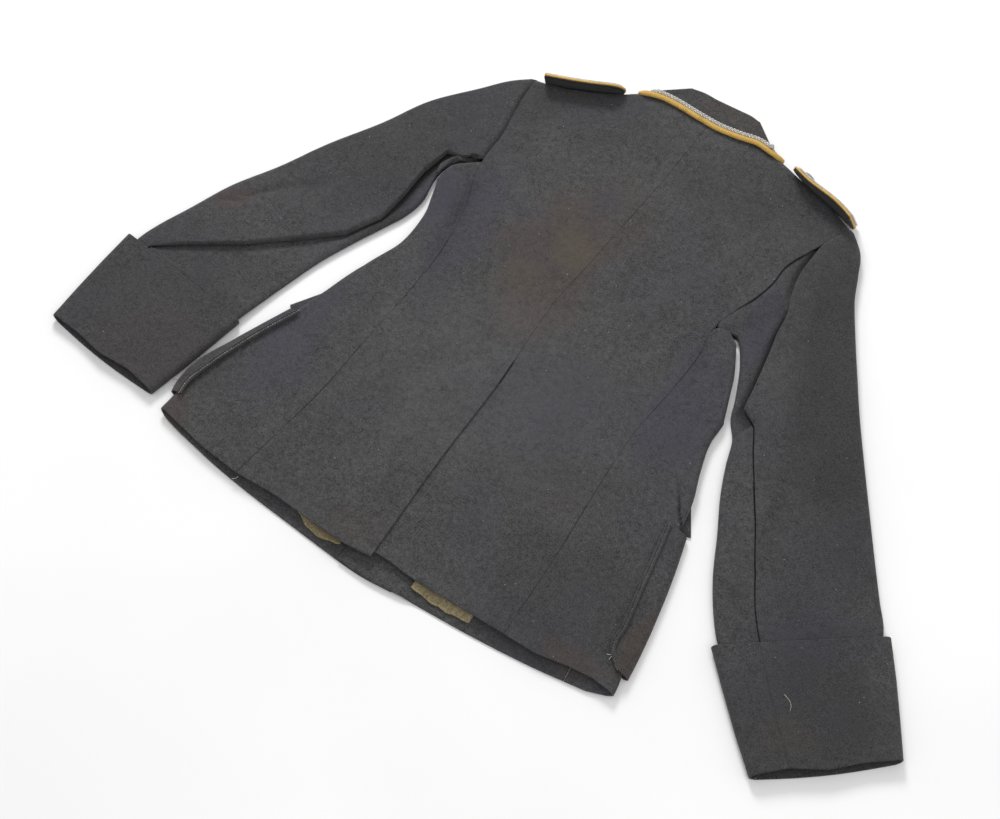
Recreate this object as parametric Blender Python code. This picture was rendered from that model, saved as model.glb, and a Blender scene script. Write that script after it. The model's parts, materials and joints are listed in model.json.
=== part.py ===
"""A four-button service tunic laid face down on a flat surface, with its back up.

All drafting is in millimetres, in the tunic's own plan: x runs across the back from the wearer's left (-x) to
the right (+x), y runs from the centre back hem up to the collar, and z is the height above the surface.
The plan is moved on to its footprint's centre, and scaled to metres, when each mesh is made.
"""

import math
from collections import namedtuple

import bpy
import numpy as np

MM = 0.001
SHARP = math.radians(50)

# Cloth
WOOL = 2.0  # wall of the body and sleeves
COLLAR_CLOTH = 2.4  # collar, which holds canvas
LINING_CLOTH = 1.0
SEAM = 0.4  # plan gap between two panels at a straight seam
CURVED_SEAM = 1.0  # the same where two panels meet along a curve
CLEAR = 0.4  # height gap between two layers that lie on each other
LAYER = WOOL + CLEAR  # what one more layer under a panel raises it by
FOLD_REACH = 7.0  # plan width of a rounded side fold

# The footprint's centre in the plan: the cuffs reach furthest to the sides, the front hem and collar along y
FOOTPRINT_CENTRE = (40.04, 348.625)
# An end row's normal that agrees less than this with the next row's is turned over by folds
TURNED_OVER = 0.8

# Colours, read as daylight on the real cloth
COLOURS = {
    "wool": (0.052, 0.054, 0.060),
    "lining": (0.22, 0.17, 0.085),
    "piping": (0.66, 0.36, 0.07),
    "silver": (0.55, 0.54, 0.50),
    "button": (0.35, 0.34, 0.33),
}
ROUGHNESS = {"wool": 0.92, "lining": 0.55, "piping": 0.8, "silver": 0.45, "button": 0.4}
METALLIC = {"silver": 0.5, "button": 0.8}

# Seams and outlines of the plan, as points that a smooth curve runs through
CENTRE_SEAM = [(-3, -7), (-8, 144), (-8, 234), (-14, 375), (-9, 440), (0, 584), (1, 701)]
BACK_HEM_LEFT = [(-3, -7), (-28, -9.5), (-55, -9.5), (-105, -5), (-130, -3), (-154, -3.2), (-183, -4)]
BACK_HEM_RIGHT = [(-3, 0), (47, -3), (112, -3), (161, -3)]
PRINCESS_LEFT = [(-183, -4), (-175, 59), (-167, 131), (-165, 204), (-162, 290), (-165, 361),
                 (-175, 420), (-196, 488)]
PRINCESS_RIGHT = [(161, -3), (158, 100), (151, 206), (149, 270), (155, 340), (157, 400), (152, 440)]
ARMHOLE_LEFT = [(-196.5, 496), (-198.5, 512), (-198.5, 535), (-204.5, 570), (-209.5, 598), (-212.6, 638.4)]
ARMHOLE_RIGHT = [(152, 440), (160, 470), (172, 502), (178, 530), (179, 556), (191, 588), (218, 648)]
SHOULDER_LEFT = [(1, 701), (-48, 699), (-74, 694), (-96, 688), (-112, 676.5), (-128, 667.5), (-150, 657),
                 (-173, 647.5), (-193, 642.3), (-212.6, 638.4)]
SHOULDER_RIGHT = [(1, 701), (50, 699), (78, 696), (98, 692.5), (124, 684), (172, 669.5), (218, 648)]
FRONT_HEM = [(-304, 15), (-287, 9), (-268, 4.5), (-218, -5), (-174, -11.5), (-122, -17), (-96, -19.5),
             (-60, -23), (0, -27), (57, -23), (129, -20), (219, -12), (262, -6), (289, 3)]

# The body's side folds: plan x of the outermost cloth at each height y
SideRow = namedtuple("SideRow", "y left right")
SIDE_FOLDS = [
    SideRow(-30, -304, 289),
    SideRow(3, -304, 289),
    SideRow(18, -303, 287),
    SideRow(45, -301, 277),
    SideRow(80, -298, 270),
    SideRow(122, -286, 262),
    SideRow(160, -273, 256),
    SideRow(200, -257, 250.5),
    SideRow(240, -245, 243.5),
    SideRow(270, -237, 233.5),
    SideRow(310, -224, 223.5),
    SideRow(345, -212, 223),
    SideRow(360, -210.5, 221),
    SideRow(375, -210.5, 215.5),
    SideRow(400, -213.5, 205),
    SideRow(418, -219.5, 197),
    SideRow(430, -224, 190),
    SideRow(442, -228, 180),
    SideRow(452, -229.5, 169),
    SideRow(470, -228, 156),
    SideRow(520, -228, 156),
]

# The side panels' upper edges, below the armholes, and how far up their lower layer reaches
SIDE_TOP_LEFT = [(-196.5, 496), (-207, 488.5), (-219, 479.5), (-226.5, 471), (-230, 461)]
SIDE_TOP_RIGHT = [(152, 441), (158, 448.5), (168, 448), (184.5, 437), (204.5, 405), (221.5, 365)]
SIDE_HEM_LEFT = [(-183, -4), (-236, 2), (-273, 10), (-304, 16.5)]
SIDE_HEM_RIGHT = [(161, -3), (200, -3), (237, 4), (263, 6), (289, 3)]
# Where the side panels' rows lie between the hem and the top
SIDE_SHARES = [0, 0.04, 0.1, 0.17, 0.24, 0.31, 0.38, 0.45, 0.52, 0.59, 0.66, 0.73, 0.8, 0.87, 0.93, 0.965,
               0.985, 1]
UNDERARM_HEIGHT = 7.6  # where the side panel goes down under the sleeve
UNDERARM_RUN = 30.0  # added to a point's height up the panel, for the length of cloth above it
UNDERARM_ROLL = 14.0
SIDE_UNDER_TOP = {"left": 462.0, "right": 436.0}

# Height of the back's outer face, on the centre line and at the side folds
CrownRow = namedtuple("CrownRow", "y centre side")
CROWN = [
    CrownRow(-30, 12.5, 10.5),
    CrownRow(20, 12.5, 11.5),
    CrownRow(120, 13.5, 12.0),
    CrownRow(240, 14.5, 12.0),
    CrownRow(330, 15.5, 12.0),
    CrownRow(450, 18.0, 13.0),
    CrownRow(560, 19.0, 14.5),
    CrownRow(650, 17.5, 14.0),
    CrownRow(710, 15.5, 13.5),
]

# The largest folds of the body: a soft trough (-) or ridge (+) along a line, with its height and half width
FoldRow = namedtuple("FoldRow", "x0 y0 x1 y1 height reach")
BODY_FOLDS = [
    FoldRow(-188, 470, -158, 330, -2.6, 15),  # hollow below the left armhole
    FoldRow(-212, 455, -196, 360, 1.6, 13),  # side panel swelling over the left underarm
    FoldRow(-128, 360, -120, 250, -1.0, 22),
    FoldRow(152, 470, 166, 350, -1.8, 12),  # drag line below the right armhole
    FoldRow(178, 425, 196, 330, 1.2, 12),
    FoldRow(176, 545, 120, 600, -1.2, 16),
    FoldRow(-210, 240, -225, 60, 1.2, 26),
    FoldRow(70, 330, 88, 120, -0.9, 28),
    FoldRow(-70, 520, 60, 520, 1.2, 60),  # shoulder blades
]

# Sleeve sections from the armhole to the cuff. The top sleeve runs from the outer edge to the fold (a share
# of the width), where it rolls down by drop, and the under sleeve starts lap inside it, at height under
SleeveRow = namedtuple("SleeveRow", "outer_x outer_y inner_x inner_y fold drop lap crest under base")
SLEEVE_LEFT = [
    SleeveRow(-214.6, 639.4, -240, 470, 0.80, 5.6, 7.0, 14.0, 6.2, 0.0),
    SleeveRow(-236, 622, -236.5, 458, 0.80, 6.2, 7.5, 14.0, 6.2, 0.0),
    SleeveRow(-262, 590, -232, 437, 0.70, 6.6, 8.0, 14.0, 6.2, 0.0),
    SleeveRow(-303, 539, -226.5, 411, 0.73, 6.6, 8.0, 14.0, 6.2, 0.0),
    SleeveRow(-333, 478, -230.5, 383, 0.84, 6.6, 8.0, 13.5, 6.0, 0.0),
    SleeveRow(-366, 421, -241, 357, 0.93, 6.4, 8.0, 13.0, 6.0, 0.0),
    SleeveRow(-397, 356, -259, 316, 0.91, 6.4, 8.0, 13.0, 6.0, 0.0),
    SleeveRow(-428, 300, -276, 272, 0.73, 6.4, 8.0, 13.0, 6.0, 0.0),
    SleeveRow(-447, 250, -286, 236, 0.53, 5.8, 8.0, 12.5, 6.2, 0.0),
    SleeveRow(-464, 206, -296, 196, 0.26, 4.6, 7.0, 12.0, 6.8, 0.6),
    SleeveRow(-470, 182, -304, 160, 0.12, 1.4, -1.0, 11.2, 9.6, 2.2),
    SleeveRow(-471, 166, -308, 142, 0.11, 1.2, -1.0, 10.6, 9.2, 2.4),
]
SLEEVE_RIGHT = [
    SleeveRow(218.8, 649, 163, 457, 0.20, 4.4, 5.0, 14.5, 7.6, 0.0),
    SleeveRow(241, 625, 180.5, 446, 0.53, 5.6, 7.0, 14.5, 7.2, 0.0),
    SleeveRow(253.5, 596.5, 198, 420, 0.70, 6.4, 8.0, 14.5, 6.6, 0.0),
    SleeveRow(268, 560, 217, 376, 0.82, 6.4, 8.0, 14.0, 6.4, 0.0),
    SleeveRow(290, 520, 225.5, 351, 0.90, 5.4, 5.0, 13.5, 6.6, 0.0),
    SleeveRow(318, 472, 241, 327, 0.83, 3.6, -1.0, 13.0, 9.0, 0.0),
    SleeveRow(341, 433, 250, 298, 0.80, 1.6, -1.0, 13.0, 11.6, 0.0),
    SleeveRow(365, 395, 262, 266, 0.77, 1.0, -1.0, 13.0, 12.2, 0.0),
    SleeveRow(402, 338, 285, 218, 0.75, 1.0, -1.0, 12.5, 11.8, 0.0),
    SleeveRow(440, 280, 308, 169, 0.74, 1.0, -1.0, 12.0, 11.4, 0.0),
    SleeveRow(464, 244, 328, 136, 0.75, 1.0, -1.0, 11.5, 10.9, 0.8),
    SleeveRow(483, 216, 348, 110, 0.75, 1.0, -1.0, 11.0, 10.4, 2.3),
    SleeveRow(489, 201, 360, 99, 0.75, 1.0, -1.0, 10.6, 10.0, 2.4),
]
# Folds that lie across the top sleeves
LEFT_SLEEVE_FOLDS = [
    FoldRow(-418, 284, -352, 350, -1.5, 7),
    FoldRow(-352, 340, -330, 372, -1.8, 10),
    FoldRow(-330, 470, -262, 452, 0.9, 20),
]
RIGHT_SLEEVE_FOLDS = [
    FoldRow(300, 372, 342, 205, -1.8, 10),
    FoldRow(330, 372, 372, 232, 1.0, 14),
    FoldRow(226, 585, 262, 470, -1.4, 11),
    FoldRow(250, 600, 246, 565, -1.2, 8),
]
# Where the sleeve's edge runs on below the armhole, just above the side panel
UNDERARM_LEFT = [(-196.5, 498.2), (-208.4, 490.6), (-220.6, 481.4), (-228.6, 472.2), (-232.2, 463.5)]
UNDERARM_RIGHT = [(153, 443.8), (160.4, 454.4), (163.4, 457.6)]
SLEEVE_SEAM_REACH = 0.105  # share of the sleeve that follows the armhole's curve
SEAM_HEIGHT = 12.8  # the under sleeve comes up to the back's edge at the armhole
SEAM_HEIGHT_REACH = 0.075  # share of the sleeve in which it goes down again
SEAM_CLIMB = 16.0  # plan width over which it climbs beside the fold
SLEEVE_CROWN = 1.2  # how much higher the top sleeve is in its middle
SEAM_SHARE_UNDER = 0.25  # the forearm seam's share of the width, on the side that lies down

# Turned-back cuffs: plan corners of the top edge and of the mouth, outer then inner
CuffRow = namedtuple("CuffRow", "outer_x outer_y inner_x inner_y height")
CUFF_LEFT = [
    CuffRow(-483, 180, -300.5, 154, 13.6),
    CuffRow(-484, 135, -308, 110, 13.2),
    CuffRow(-484, 90, -316, 66, 12.6),
    CuffRow(-483, 45, -324, 26, 12.0),
]
CUFF_RIGHT = [
    CuffRow(493, 213, 344, 103, 13.6),
    CuffRow(518, 176, 377, 69, 13.2),
    CuffRow(542, 138, 411, 35, 13.0),
    CuffRow(564, 102, 445, 3, 13.6),
]
# How far the mouth's edge stands out (+) from the straight line between its corners, along the upper layer
CUFF_MOUTH_WAVE = [(0.0, 0.0), (0.25, -1.0), (0.5, 2.5), (0.75, -3.0), (1.0, 0.0)]
CUFF_SWELL = 0.8  # how much higher the cuff is in its middle
MOUTH_UNDER_REACH = 4.0  # the layer below shows past the upper one

# Collar: the fall's free edge, the roll line and the neck seam under it
COLLAR_EDGE = [(-84, 691), (-66, 695), (-47, 695), (-13, 691.7), (15, 690), (41, 692.5), (66, 696.5),
               (84, 693.5)]
COLLAR_ROLL = [(-39, 721), (-24, 723.4), (-7, 722.7), (8, 723), (23, 723.2), (40, 723), (50, 720.5)]
NECK_SEAM = [(-60, 704.5), (-30, 702.6), (4, 702), (38, 702.6), (68, 704.5)]
COLLAR_EDGE_HEIGHT = 19.6
COLLAR_ROLL_HEIGHT = 25.0
COLLAR_ROLL_THICK = 8.6  # from the fall's outer face down to the stand's
COLLAR_TURN_FROM = 14.4  # height between the stand, which turns in, and the fall, which turns out
COLLAR_END_HEIGHT = 5.0  # where the collar has turned down to, round the neck's ends
COLLAR_TURN_OUT = 4.0  # how far the fall swings out as it turns down, and the stand in
COLLAR_TURN_IN = 2.0
COLLAR_COLUMNS = 13
CORD_RADIUS = 2.7
# Where the edge's piping and cord go round the neck's ends and down, as x, y and height
PIPING_START = [(-96.0, 691.5, 7.5), (-94.5, 689.3, 12.0), (-91.5, 687.2, 16.0), (-87.5, 686.8, 18.8)]
PIPING_END = [(88.0, 690.0, 18.8), (93.0, 690.8, 16.0), (97.5, 692.6, 12.0), (99.8, 694.8, 7.5)]
CORD_START = [(-77.6, 707.2, 15.0), (-76.0, 705.0, 20.8), (-71.4, 700.6, 24.4)]
CORD_END = [(87.6, 696.9, 21.0), (89.4, 698.4, 17.0)]
CORD_FROM_X = -66.0

# Shoulder straps: the plan line of the board's upper edge, how much it bows, its slope in degrees, its layers
StrapRow = namedtuple("StrapRow", "sleeve_x sleeve_y neck_x neck_y bow wave tilt")
STRAPS = {
    "left": StrapRow(-196.0, 627.2, -104.1, 665.6, -2.0, 0.0, 66),
    "right": StrapRow(210.7, 640.8, 116.8, 674.0, 0.0, 2.4, 66),
}
STRAP_WIDTH = 40.0
STRAP_BASE = 2.2
STRAP_PIPING = 3.0
STRAP_BRAID = 2.4
STRAP_GAP = 0.5
STRAP_FOOT = 0.4  # height of its lower edge

# Patch pockets with a bellows side. They wrap round the side folds, outside the body
PocketRow = namedtuple("PocketRow", "y top_edge outer")
POCKET_LEFT = [
    PocketRow(40, -297, -308.5),
    PocketRow(55, -299, -311.5),
    PocketRow(85, -293, -310),
    PocketRow(128, -280, -294),
    PocketRow(163, -267, -280),
    PocketRow(199, -252, -265),
]
POCKET_RIGHT = [
    PocketRow(26, 281, 292),
    PocketRow(42, 266, 290.5),
    PocketRow(72, 262, 286.5),
    PocketRow(110, 255, 280),
    PocketRow(152, 248, 271.5),
    PocketRow(198, 240, 260),
]
POCKET_INNER_X = 112.0
POCKET_WALL = 1.8
BELLOWS_WALL = 1.0
# Pocket flaps: plan outline of the slab that lies under the pocket's mouth
FLAP_LEFT = [(-234, 264), (-270, 207), (-264, 201.5), (-112, 201.5), (-112, 264)]
FLAP_RIGHT = [(226, 266), (263, 202), (256, 200.5), (112, 200.5), (112, 266)]

# Fronts: they lie on the surface, the left one lapped under the right one
FRONT_SHARES = [0, 0.05, 0.11, 0.17, 0.24, 0.32, 0.42, 0.54, 0.68, 0.84, 1]  # where a front's columns lie
LAP = 34.0  # each front reaches this far past the centre
BREAK_Y = 436.0  # where the lapels start
NECK_POINT_LEFT = (-84, 690)
NECK_POINT_RIGHT = (90, 690)
BUTTON_Y = (95.0, 200.0, 305.0, 410.0)
BUTTON_RADIUS = 10.0
BUTTON_HEIGHT = 2.0
UNDER_SEAM = 2.6  # plan gap at the seams of the side that lies down
UNDER_EDGE = 1.0  # how far the front's shoulder and armhole lie inside the back's
FRONT_ROWS = 16
SIDE_PANEL_UNDER = 52.0  # the side panel's width on the side that lies down

# Where something lies below the fronts, they are one layer higher: x and y limits
LiftRow = namedtuple("LiftRow", "x0 x1 y0 y1")
LIFTS = [
    LiftRow(-330, -92, 10, 292),
    LiftRow(92, 310, 10, 292),
    LiftRow(-16, 16, 40, 760),
    LiftRow(-118, 118, 430, 760),
]
LIFT_RAMP = 26.0

# Lining that shows: where its lower edge starts and ends, and how far it hangs below the line between them
LiningRow = namedtuple("LiningRow", "start end dip")
LINING = {
    "left": LiningRow((-101, -3.5), (-42, -9), 8.5),
    "right": LiningRow((50, -10), (122, -10), 3.0),
}

# Vent: the left back laps over the right one below this height
VENT_TOP = 236.0
VENT_UNDERLAY = 38.0


def smoothstep(value):
    value = np.clip(value, 0.0, 1.0)
    return value * value * (3 - 2 * value)


def curve(points, count=None, at=None):
    """Points at equal steps, or at the given shares of the length, on a smooth curve through points."""
    p = np.array(points, float)
    step = np.maximum(np.linalg.norm(np.diff(p[:, :2], axis=0), axis=1), 1e-6)
    along = np.concatenate([[0], np.cumsum(step)])
    slope = np.gradient(p, along, axis=0)
    where = (np.linspace(0, 1, count) if at is None else np.array(at, float)) * along[-1]
    i = np.clip(np.searchsorted(along, where, side="right") - 1, 0, len(step) - 1)
    t = ((where - along[i]) / step[i])[:, None]
    h = step[i][:, None]
    return (
        p[i] * (2 * t**3 - 3 * t**2 + 1)
        + slope[i] * h * (t**3 - 2 * t**2 + t)
        + p[i + 1] * (3 * t**2 - 2 * t**3)
        + slope[i + 1] * h * (t**3 - t**2)
    )


def along_polyline(points, count):
    """Points at equal steps along straight runs."""
    p = np.array(points, float)
    along = np.concatenate([[0], np.cumsum(np.linalg.norm(np.diff(p, axis=0), axis=1))])
    where = np.linspace(0, along[-1], count)
    return np.stack([np.interp(where, along, p[:, k]) for k in range(p.shape[1])], 1)


def lookup(rows, y, column):
    """A column of a table, read at height y."""
    return np.interp(y, [r.y for r in rows], [getattr(r, column) for r in rows])


def patch(bottom, top, inner, outer):
    """The plan grid between four edges. Rows go from bottom to top, columns from inner to outer."""
    rows, cols = len(inner), len(bottom)
    v = np.asarray(ROW_SHARES if rows == len(ROW_SHARES) else np.linspace(0, 1, rows))[:, None, None]
    u = np.linspace(0, 1, cols)[None, :, None]
    across = (1 - v) * bottom[None] + v * top[None]
    along = (1 - u) * inner[:, None] + u * outer[:, None]
    corners = (1 - v) * ((1 - u) * bottom[0] + u * bottom[-1]) + v * ((1 - u) * top[0] + u * top[-1])
    return across + along - corners


# Rows of the back panels are close together at the top, where the shoulder rolls over
ROW_SHARES = [0, 0.05, 0.11, 0.17, 0.23, 0.29, 0.335, 0.38, 0.44, 0.5, 0.56, 0.62, 0.67, 0.72, 0.77, 0.82,
              0.87, 0.915, 0.95, 0.972, 0.984, 0.993, 1.0]


def folds_at(rows, x, y):
    """Total height of the fold lines at plan points."""
    total = np.zeros(np.broadcast(x, y).shape)
    for f in rows:
        dx, dy = f.x1 - f.x0, f.y1 - f.y0
        share = ((x - f.x0) * dx + (y - f.y0) * dy) / (dx * dx + dy * dy)
        near = np.clip(share, 0, 1)
        away = np.hypot(x - f.x0 - near * dx, y - f.y0 - near * dy)
        swell = np.sin(np.pi * np.clip(0.12 + 0.76 * share, 0, 1))
        total = total + f.height * swell * np.exp(-((away / f.reach) ** 2))
    return total


def lift(x, y):
    """How far the fronts and the sides' lower layer are raised by what lies below them."""
    most = np.zeros(np.broadcast(x, y).shape)
    for r in LIFTS:
        beside, beyond = np.maximum(r.x0 - x, x - r.x1), np.maximum(r.y0 - y, y - r.y1)
        outside = np.hypot(np.maximum(beside, 0), np.maximum(beyond, 0))
        most = np.maximum(most, smoothstep(1 - outside / LIFT_RAMP))
    return LAYER * most


def back_height(x, y):
    """Height of the back's outer face."""
    x, y = np.asarray(x, float), np.asarray(y, float)
    half = np.where(x < 0, -lookup(SIDE_FOLDS, y, "left"), lookup(SIDE_FOLDS, y, "right"))
    share = np.clip(np.abs(x) / half, 0, 1)
    side, centre = lookup(CROWN, y, "side"), lookup(CROWN, y, "centre")
    return side + (centre - side) * (1 - share**2) + folds_at(BODY_FOLDS, x, y)


def normals_of(grid):
    along, across = np.gradient(grid, axis=0), np.gradient(grid, axis=1)
    n = np.cross(across, along)
    return n / np.maximum(np.linalg.norm(n, axis=2, keepdims=True), 1e-9)


def ring_normals(grid):
    """Normals of a grid whose columns close on themselves."""
    wide = np.concatenate([grid[:, -2:-1], grid, grid[:, 1:2]], axis=1)
    return normals_of(wide)[:, 1:-1]


def material(name):
    found = bpy.data.materials.get(name)
    if found:
        return found
    made = bpy.data.materials.new(name)
    made.use_nodes = True
    shader = made.node_tree.nodes["Principled BSDF"]
    shader.inputs["Base Color"].default_value = (*COLOURS[name], 1.0)
    shader.inputs["Roughness"].default_value = ROUGHNESS[name]
    shader.inputs["Metallic"].default_value = METALLIC.get(name, 0.0)
    return made


def add_object(name, points, faces, finish):
    shifted = (np.asarray(points, float) - (*FOOTPRINT_CENTRE, 0.0)) * MM
    mesh = bpy.data.meshes.new(name)
    mesh.from_pydata([tuple(p) for p in shifted], [], faces)
    mesh.validate()
    mesh.materials.append(material(finish))
    mesh.shade_smooth()
    mesh.set_sharp_from_angle(angle=SHARP)
    obj = bpy.data.objects.new(name, mesh)
    bpy.context.scene.collection.objects.link(obj)
    return obj


def signed_volume(points, faces):
    total = 0.0
    for face in faces:
        first = points[face[0]]
        for b, c in zip(face[1:-1], face[2:]):
            total += np.dot(first, np.cross(points[b], points[c]))
    return total


def solid_between(name, outer, inner, finish, ring=False):
    """A closed solid between two grids of the same size. A ring's last column repeats its first."""
    rows, cols = outer.shape[:2]
    if ring:
        outer, inner, cols = outer[:, :-1], inner[:, :-1], cols - 1
    points = np.concatenate([outer.reshape(-1, 3), inner.reshape(-1, 3)])

    def index(side, r, c):
        return side * rows * cols + r * cols + c % cols

    faces = []
    spans = cols if ring else cols - 1
    for r in range(rows - 1):
        for c in range(spans):
            quad = [(r, c), (r, c + 1), (r + 1, c + 1), (r + 1, c)]
            faces.append([index(0, *q) for q in quad])
            faces.append([index(1, *q) for q in reversed(quad)])
    for c in range(spans):
        faces.append([index(0, 0, c), index(1, 0, c), index(1, 0, c + 1), index(0, 0, c + 1)])
        last = rows - 1
        faces.append([index(0, last, c + 1), index(1, last, c + 1), index(1, last, c), index(0, last, c)])
    if not ring:
        for r in range(rows - 1):
            faces.append([index(0, r + 1, 0), index(1, r + 1, 0), index(1, r, 0), index(0, r, 0)])
            end = cols - 1
            faces.append([index(0, r, end), index(1, r, end), index(1, r + 1, end), index(0, r + 1, end)])
    if signed_volume(points, faces) < 0:
        faces = [list(reversed(f)) for f in faces]
    return add_object(name, points, faces, finish)


def steadied(n):
    """The normals, with an end row's taken from the row beside it where a tight row turns them over."""
    for end, beside in ((0, 1), (-1, -2)):
        turned = (n[end] * n[beside]).sum(axis=1) < TURNED_OVER
        n[end][turned] = n[beside][turned]
    return n


def wall(name, grid, thick, finish, outside, ring=False):
    """A cloth wall whose outer face is the grid. outside is "up", "down" or "away" from each row's middle."""
    grid = np.asarray(grid, float)
    n = steadied(ring_normals(grid) if ring else normals_of(grid))
    middle = grid.mean(axis=1, keepdims=True)
    facing = {"up": n[..., 2].sum(), "down": -n[..., 2].sum(), "away": ((grid - middle) * n).sum()}[outside]
    n = n * (1 if facing > 0 else -1)
    return solid_between(name, grid, grid - n * thick, finish, ring)


def slab(name, outline, low, high, finish):
    """A flat solid over a plan outline."""
    n = len(outline)
    points = [(x, y, low) for x, y in outline] + [(x, y, high) for x, y in outline]
    faces = [list(range(n))[::-1], list(range(n, 2 * n))]
    faces += [[i, (i + 1) % n, n + (i + 1) % n, n + i] for i in range(n)]
    if signed_volume(np.array(points, float), faces) < 0:
        faces = [list(reversed(f)) for f in faces]
    return add_object(name, points, faces, finish)


def tube(name, path, radius, finish, sides=8):
    """A round tube along a path of points."""
    path = np.asarray(path, float)
    forward = np.gradient(path, axis=0)
    forward /= np.linalg.norm(forward, axis=1, keepdims=True)
    side = np.cross(forward, (0, 0, 1.0))
    side /= np.linalg.norm(side, axis=1, keepdims=True)
    up = np.cross(side, forward)
    angles = np.linspace(0, 2 * math.pi, sides, endpoint=False)
    rings = []
    for p, s, u in zip(path, side, up):
        rings.append([p + radius * (math.cos(a) * s + math.sin(a) * u) for a in angles])
    return lathe(name, rings, finish)


def roll_down(height, low, distance, reach):
    """Height of a face that rolls down to low at its edge, distance away from it."""
    share = np.clip(distance / reach, 0, 1)
    return low + (height - low) * np.sqrt(np.clip(1 - (1 - share) ** 2, 0, 1))


def outer_seam(side):
    """The princess seam and the armhole above it, as the points that every panel along them uses."""
    lines = (PRINCESS_LEFT + ARMHOLE_LEFT[1:]) if side == "left" else (PRINCESS_RIGHT + ARMHOLE_RIGHT[1:])
    return curve(lines, at=ROW_SHARES)


def back_panel(side):
    """Half of the back, from the centre seam to the princess seam and armhole."""
    left = side == "left"
    hem = curve(BACK_HEM_LEFT if left else BACK_HEM_RIGHT, 10)
    shoulder = curve(SHOULDER_LEFT if left else SHOULDER_RIGHT, 10)
    seam = curve(CENTRE_SEAM, at=ROW_SHARES)
    outer = outer_seam(side)
    sign = -1 if left else 1
    seam = seam + (sign * SEAM / 2, 0)
    if not left:
        under = VENT_UNDERLAY * smoothstep((VENT_TOP + 8 - seam[:, 1]) / 16)
        seam = seam - np.stack([under, 0 * under], 1)
        hem = curve([tuple(seam[0])] + BACK_HEM_RIGHT, 10)
        seam[0] = hem[0]
    seam[0], seam[-1] = hem[0], shoulder[0] + (sign * SEAM / 2, 0)
    shoulder[0] = seam[-1]
    outer[0], outer[-1] = hem[-1], shoulder[-1]
    plan = patch(hem, shoulder, seam, outer)
    x, y = plan[..., 0], plan[..., 1]
    z = back_height(x, y)
    if left:
        lap = smoothstep((VENT_TOP + 54 - y) / 22) * smoothstep((x + 84) / 30)
        z = z + LAYER * lap
    to_shoulder = np.linalg.norm(plan - plan[-1:], axis=2)
    neck_share = smoothstep((np.abs(shoulder[:, 0]) - 64) / 22)[None, :]
    rolled = roll_down(z, 3.4 + lift(x, y), to_shoulder, 10.0)
    z = z + (rolled - z) * neck_share
    return wall("back_" + side, np.dstack([plan, z]), WOOL, "wool", "up")


def side_section(side, y, inner_x, under_x, top_cols, arc_cols, under_cols):
    """The side panel's cross section at height y: across the back, round the side fold and underneath."""
    sign = -1 if side == "left" else 1
    fold = float(lookup(SIDE_FOLDS, y, side))
    start = fold - sign * FOLD_REACH
    top_x = np.linspace(inner_x, start, top_cols)
    top_z = back_height(top_x, np.full(top_cols, y))
    low = float(lift(start, y))
    angles = np.linspace(math.pi / 2, -math.pi / 2, arc_cols + 2)[1:-1]
    middle, half = (top_z[-1] + low) / 2, (top_z[-1] - low) / 2
    arc_x = start + sign * FOLD_REACH * np.cos(angles)
    arc_z = middle + half * np.sin(angles)
    under = np.linspace(start, under_x, under_cols)
    under_z = lift(under, np.full(under_cols, y))
    return np.concatenate([top_x, arc_x, under]), np.concatenate([top_z, arc_z, under_z])


def side_panel(side):
    """The panel under the arm, from the princess seam round the side fold to the seam below."""
    left = side == "left"
    sign = -1 if left else 1
    princess = outer_seam(side)
    top_cols, arc_cols, under_cols = 6, 4, 4
    hem_x, hem_y = np.array(SIDE_HEM_LEFT if left else SIDE_HEM_RIGHT, float).T
    front_x, front_y = np.array(FRONT_HEM, float).T
    top_x, top_y = np.array(SIDE_TOP_LEFT if left else SIDE_TOP_RIGHT, float).T
    cols = top_cols + arc_cols + under_cols
    grid = np.zeros((len(SIDE_SHARES), cols, 3))
    last_y = SIDE_UNDER_TOP[side]
    for r, share in enumerate(SIDE_SHARES):
        guess = np.full(cols, share * float(top_y.max()))
        for _ in range(3):
            for c in range(cols):
                y = guess[c]
                inner = np.interp(y, princess[:, 1], princess[:, 0]) + sign * CURVED_SEAM
                under_x = float(lookup(SIDE_FOLDS, y, side)) - sign * SIDE_PANEL_UNDER
                xs, zs = side_section(side, y, inner, under_x, top_cols, arc_cols, under_cols)
                grid[r, c] = xs[c], y, zs[c]
            for c in range(cols):
                x = grid[r, c, 0]
                round_fold = float(np.clip((c - top_cols + 1) / (arc_cols + 1), 0, 1))
                hem = (1 - round_fold) * np.interp(sign * x, sign * hem_x, hem_y)
                hem += round_fold * np.interp(x, front_x, front_y)
                end = np.interp(sign * x, sign * top_x, top_y) if c < top_cols + arc_cols else last_y
                guess[c] = hem + share * (end - hem)
        for c in range(top_cols + arc_cols):
            z = grid[r, c, 2]
            away = (1 - share) * (grid[r, c, 1] + UNDERARM_RUN)
            grid[r, c, 2] = roll_down(z, min(z, UNDERARM_HEIGHT), away, UNDERARM_ROLL)
    return wall("side_" + side, grid, WOOL, "wool", "away")


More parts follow.
